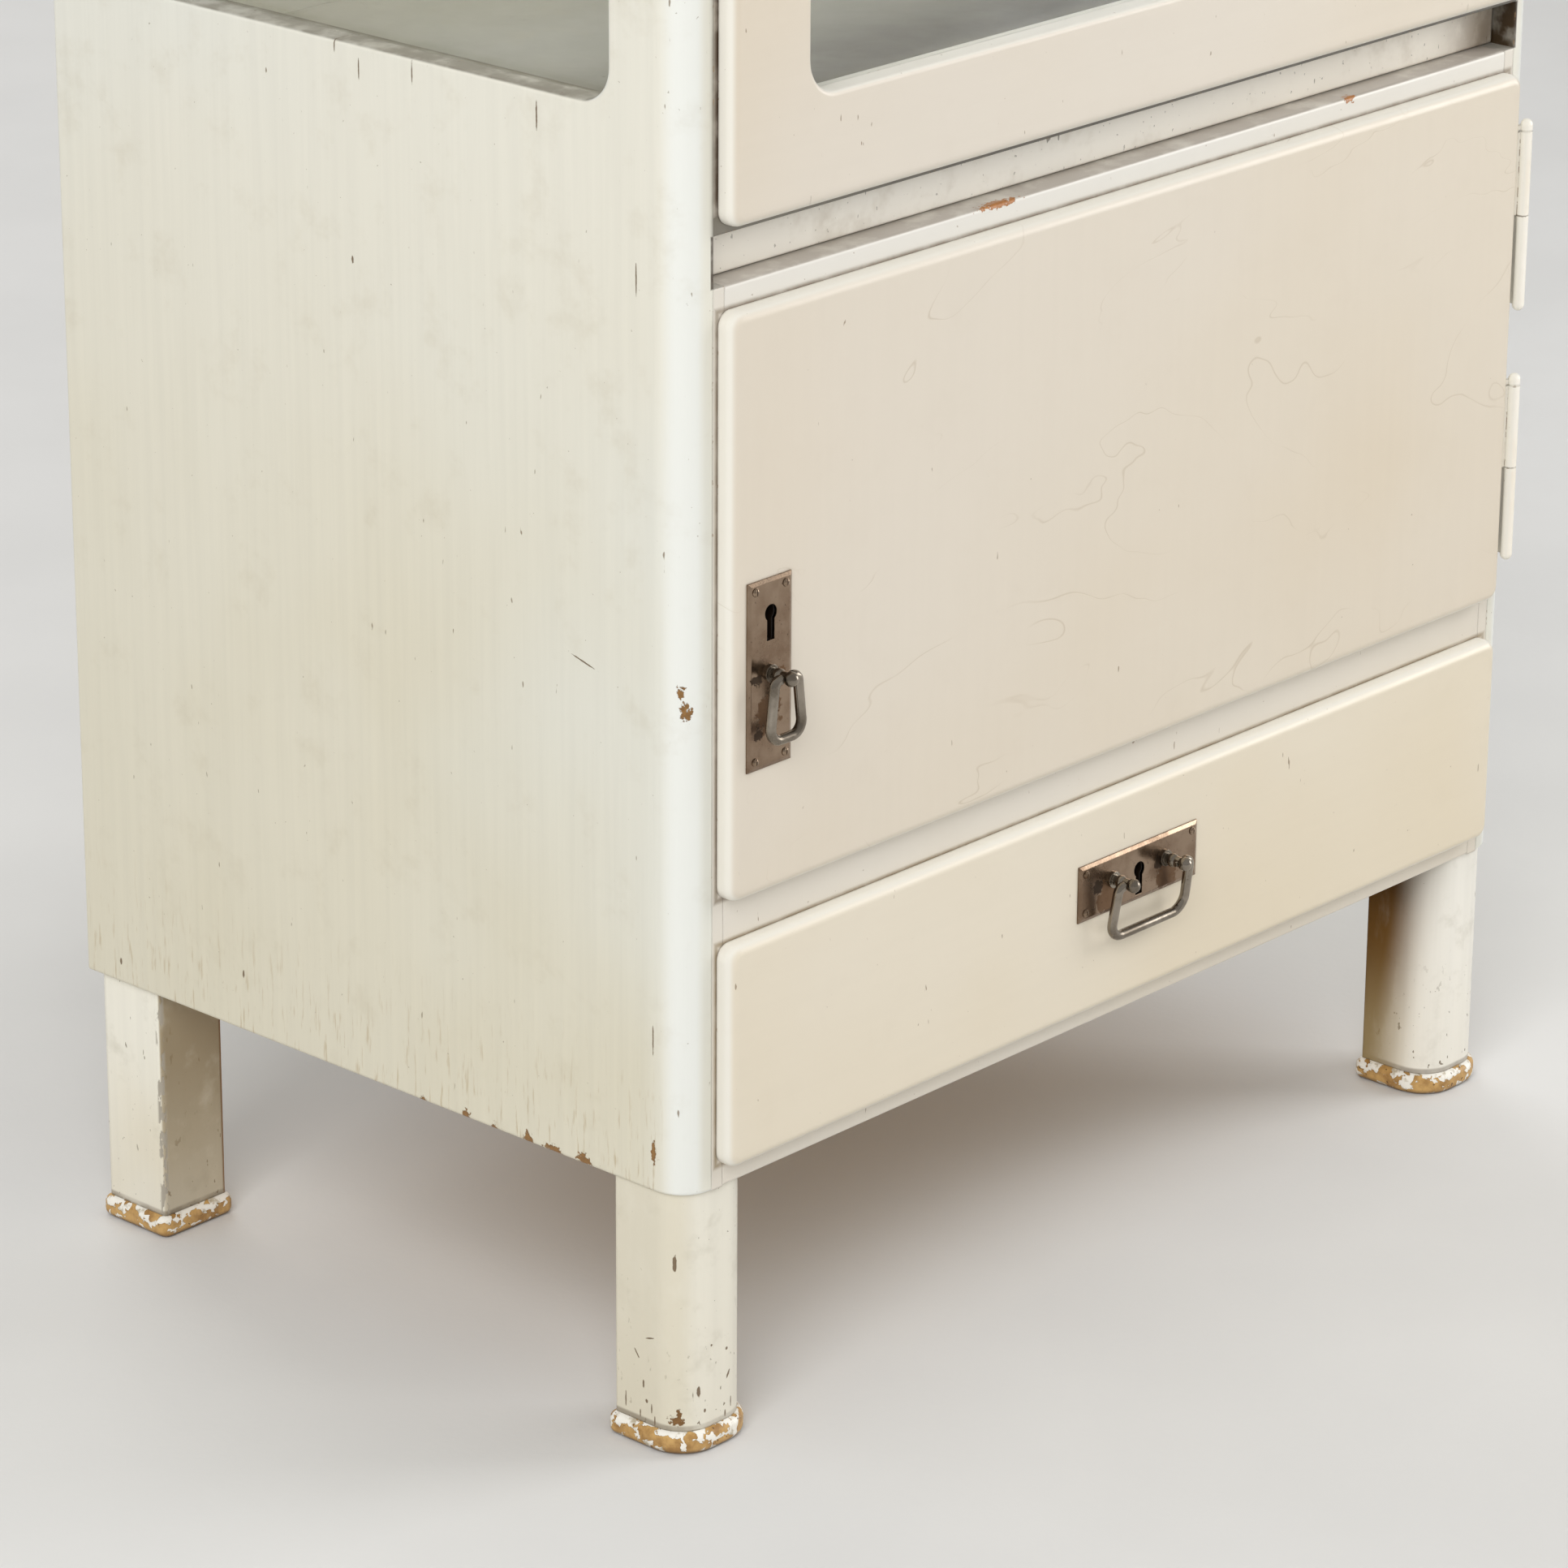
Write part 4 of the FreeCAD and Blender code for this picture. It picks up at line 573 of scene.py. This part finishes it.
def bareWood(name, look, run):
    # softwood grain, longest along the axis where run is smallest
    made = Finish(name)
    line = made.band(made.maths("FRACT", made.times(made.cloud(run, 3, 0.6, warp=0.5), 9.0)), 0.55, 1.0)
    fibre = made.cloud(tuple(scale * 18 for scale in run), 3, 0.6)
    made.colour = shade(*look["pale"])
    made.paint(made.times(line, 0.6), look["grain"])
    made.colour = made.lit(made.colour, made.band(fibre, 0.25, 0.75, 0.86, 1.08))
    made.paint(made.times(made.band(made.cloud(12, 4, 0.6), 0.45, 0.75), 0.5), look["grey"])
    edge = made.worn(look["edgeRadius"])
    rub = made.times(made.band(edge, 0.03, 0.2), made.band(made.cloud(140, 3, 0.6), 0.5, 0.6))
    made.paint(made.times(rub, 0.7), look["rubTone"])
    made.height = made.times(fibre, 0.6)
    made.sink(line, 0.3)
    return made.done(made.band(fibre, 0.3, 0.7, *look["rough"]), look["relief"])


dress(bareWood("woodAlong", woodLook, (26, 1.6, 26)), "drawer_sides", "drawer_guides", "tray_board")
dress(bareWood("woodAcross", woodLook, (1.6, 26, 26)), "drawer_back", "drawer_bottom", "bottom_board", "dust_board")
print("wood done")

glassLook = {"tint": (251, 253, 252), "smear": (247, 250, 248), "film": 0.04, "bend": 1.5, "wave": 0.0006}


def windowGlass(look):
    made = Finish("windowGlass")
    smear = made.band(made.cloud(14, 4, 0.6), 0.4, 0.75)
    made.colour = shade(*look["tint"])
    made.paint(smear, look["smear"])
    made.height = made.cloud(9, 1, 0.4)
    made.shader.inputs["Transmission Weight"].default_value = 1.0
    made.shader.inputs["IOR"].default_value = look["bend"]
    return made.done(made.times(smear, look["film"]), look["wave"])


glassNodes = ("left_side_glass", "right_side_glass", "upper_door_glass",
              "lower_glass_shelf", "middle_glass_shelf", "upper_glass_shelf")
dress(windowGlass(glassLook), *glassNodes)
for name in glassNodes:
    bpy.data.objects[name].visible_shadow = False
print("glass done")

studioLook = {"radius": 30.0, "tone": (0.72, 0.715, 0.70, 1.0), "shine": 0.0, "rough": 0.6, "relief": 0.0001}
shape = bmesh.new()
bmesh.ops.create_circle(shape, cap_ends=True, segments=96, radius=studioLook["radius"])
floorMesh = bpy.data.meshes.new("studioFloor")
shape.to_mesh(floorMesh)
shape.free()
studioFloor = bpy.data.objects.new("studioFloor", floorMesh)
bpy.context.scene.collection.objects.link(studioFloor)
made = Finish("floorFinish")
made.colour = made.lit(studioLook["tone"], made.band(made.cloud(5, 3, 0.5), 0.3, 0.7, 0.98, 1.02))
made.height = made.cloud(240, 2, 0.5)
made.shader.inputs["Specular IOR Level"].default_value = studioLook["shine"]
dress(made.done(studioLook["rough"], studioLook["relief"]), "studioFloor")
print("floor done")

# each light: place, width, power
lightLook = {
    "key": ((-3.2, -1.9, 2.9), 2.6, 116.0), "window": ((2.4, -1.7, 1.8), 1.6, 39.0),
    "rear": ((1.5, 3.2, 3.0), 2.4, 40.0), "glint": ((2.6, -1.7, 0.9), 1.5, 38.0),
    "world": (1.0, 0.995, 0.985), "worldLevel": 0.50, "aim": (0.0, 0.0, 0.6),
}
for name in ("key", "window", "rear", "glint"):
    spot, wide, power = lightLook[name]
    lamp = bpy.data.lights.new(name + "Light", "AREA")
    lamp.size = wide
    lamp.energy = power
    holder = bpy.data.objects.new(name + "Light", lamp)
    holder.location = spot
    holder.rotation_euler = (Vector(lightLook["aim"]) - Vector(spot)).to_track_quat("-Z", "Y").to_euler()
    holder.visible_camera = False
    holder.visible_transmission = name in ("key", "rear")
    holder.visible_glossy = name in ("rear", "glint")
    holder.visible_diffuse = name != "glint"  # the low light only shines on rounded edges
    bpy.context.scene.collection.objects.link(holder)
world = bpy.data.worlds.new("studio")
world.use_nodes = True
backdrop = world.node_tree.nodes["Background"]
backdrop.inputs["Color"].default_value = (*lightLook["world"], 1.0)
backdrop.inputs["Strength"].default_value = lightLook["worldLevel"]
bpy.context.scene.world = world
print("light done")

cameraLook = {"spot": (-2.1519, -1.928, 1.2987), "turn": (69.079, -0.325, -47.557), "lens": 145.5, "sensor": 36.0}
lens = bpy.data.cameras.new("photoCamera")
lens.lens = cameraLook["lens"]
lens.sensor_width = cameraLook["sensor"]
photoCamera = bpy.data.objects.new("photoCamera", lens)
photoCamera.location = cameraLook["spot"]
photoCamera.rotation_euler = [radians(angle) for angle in cameraLook["turn"]]
bpy.context.scene.collection.objects.link(photoCamera)
bpy.context.scene.camera = photoCamera
bpy.context.scene.view_settings.view_transform = "Standard"
print("camera done")
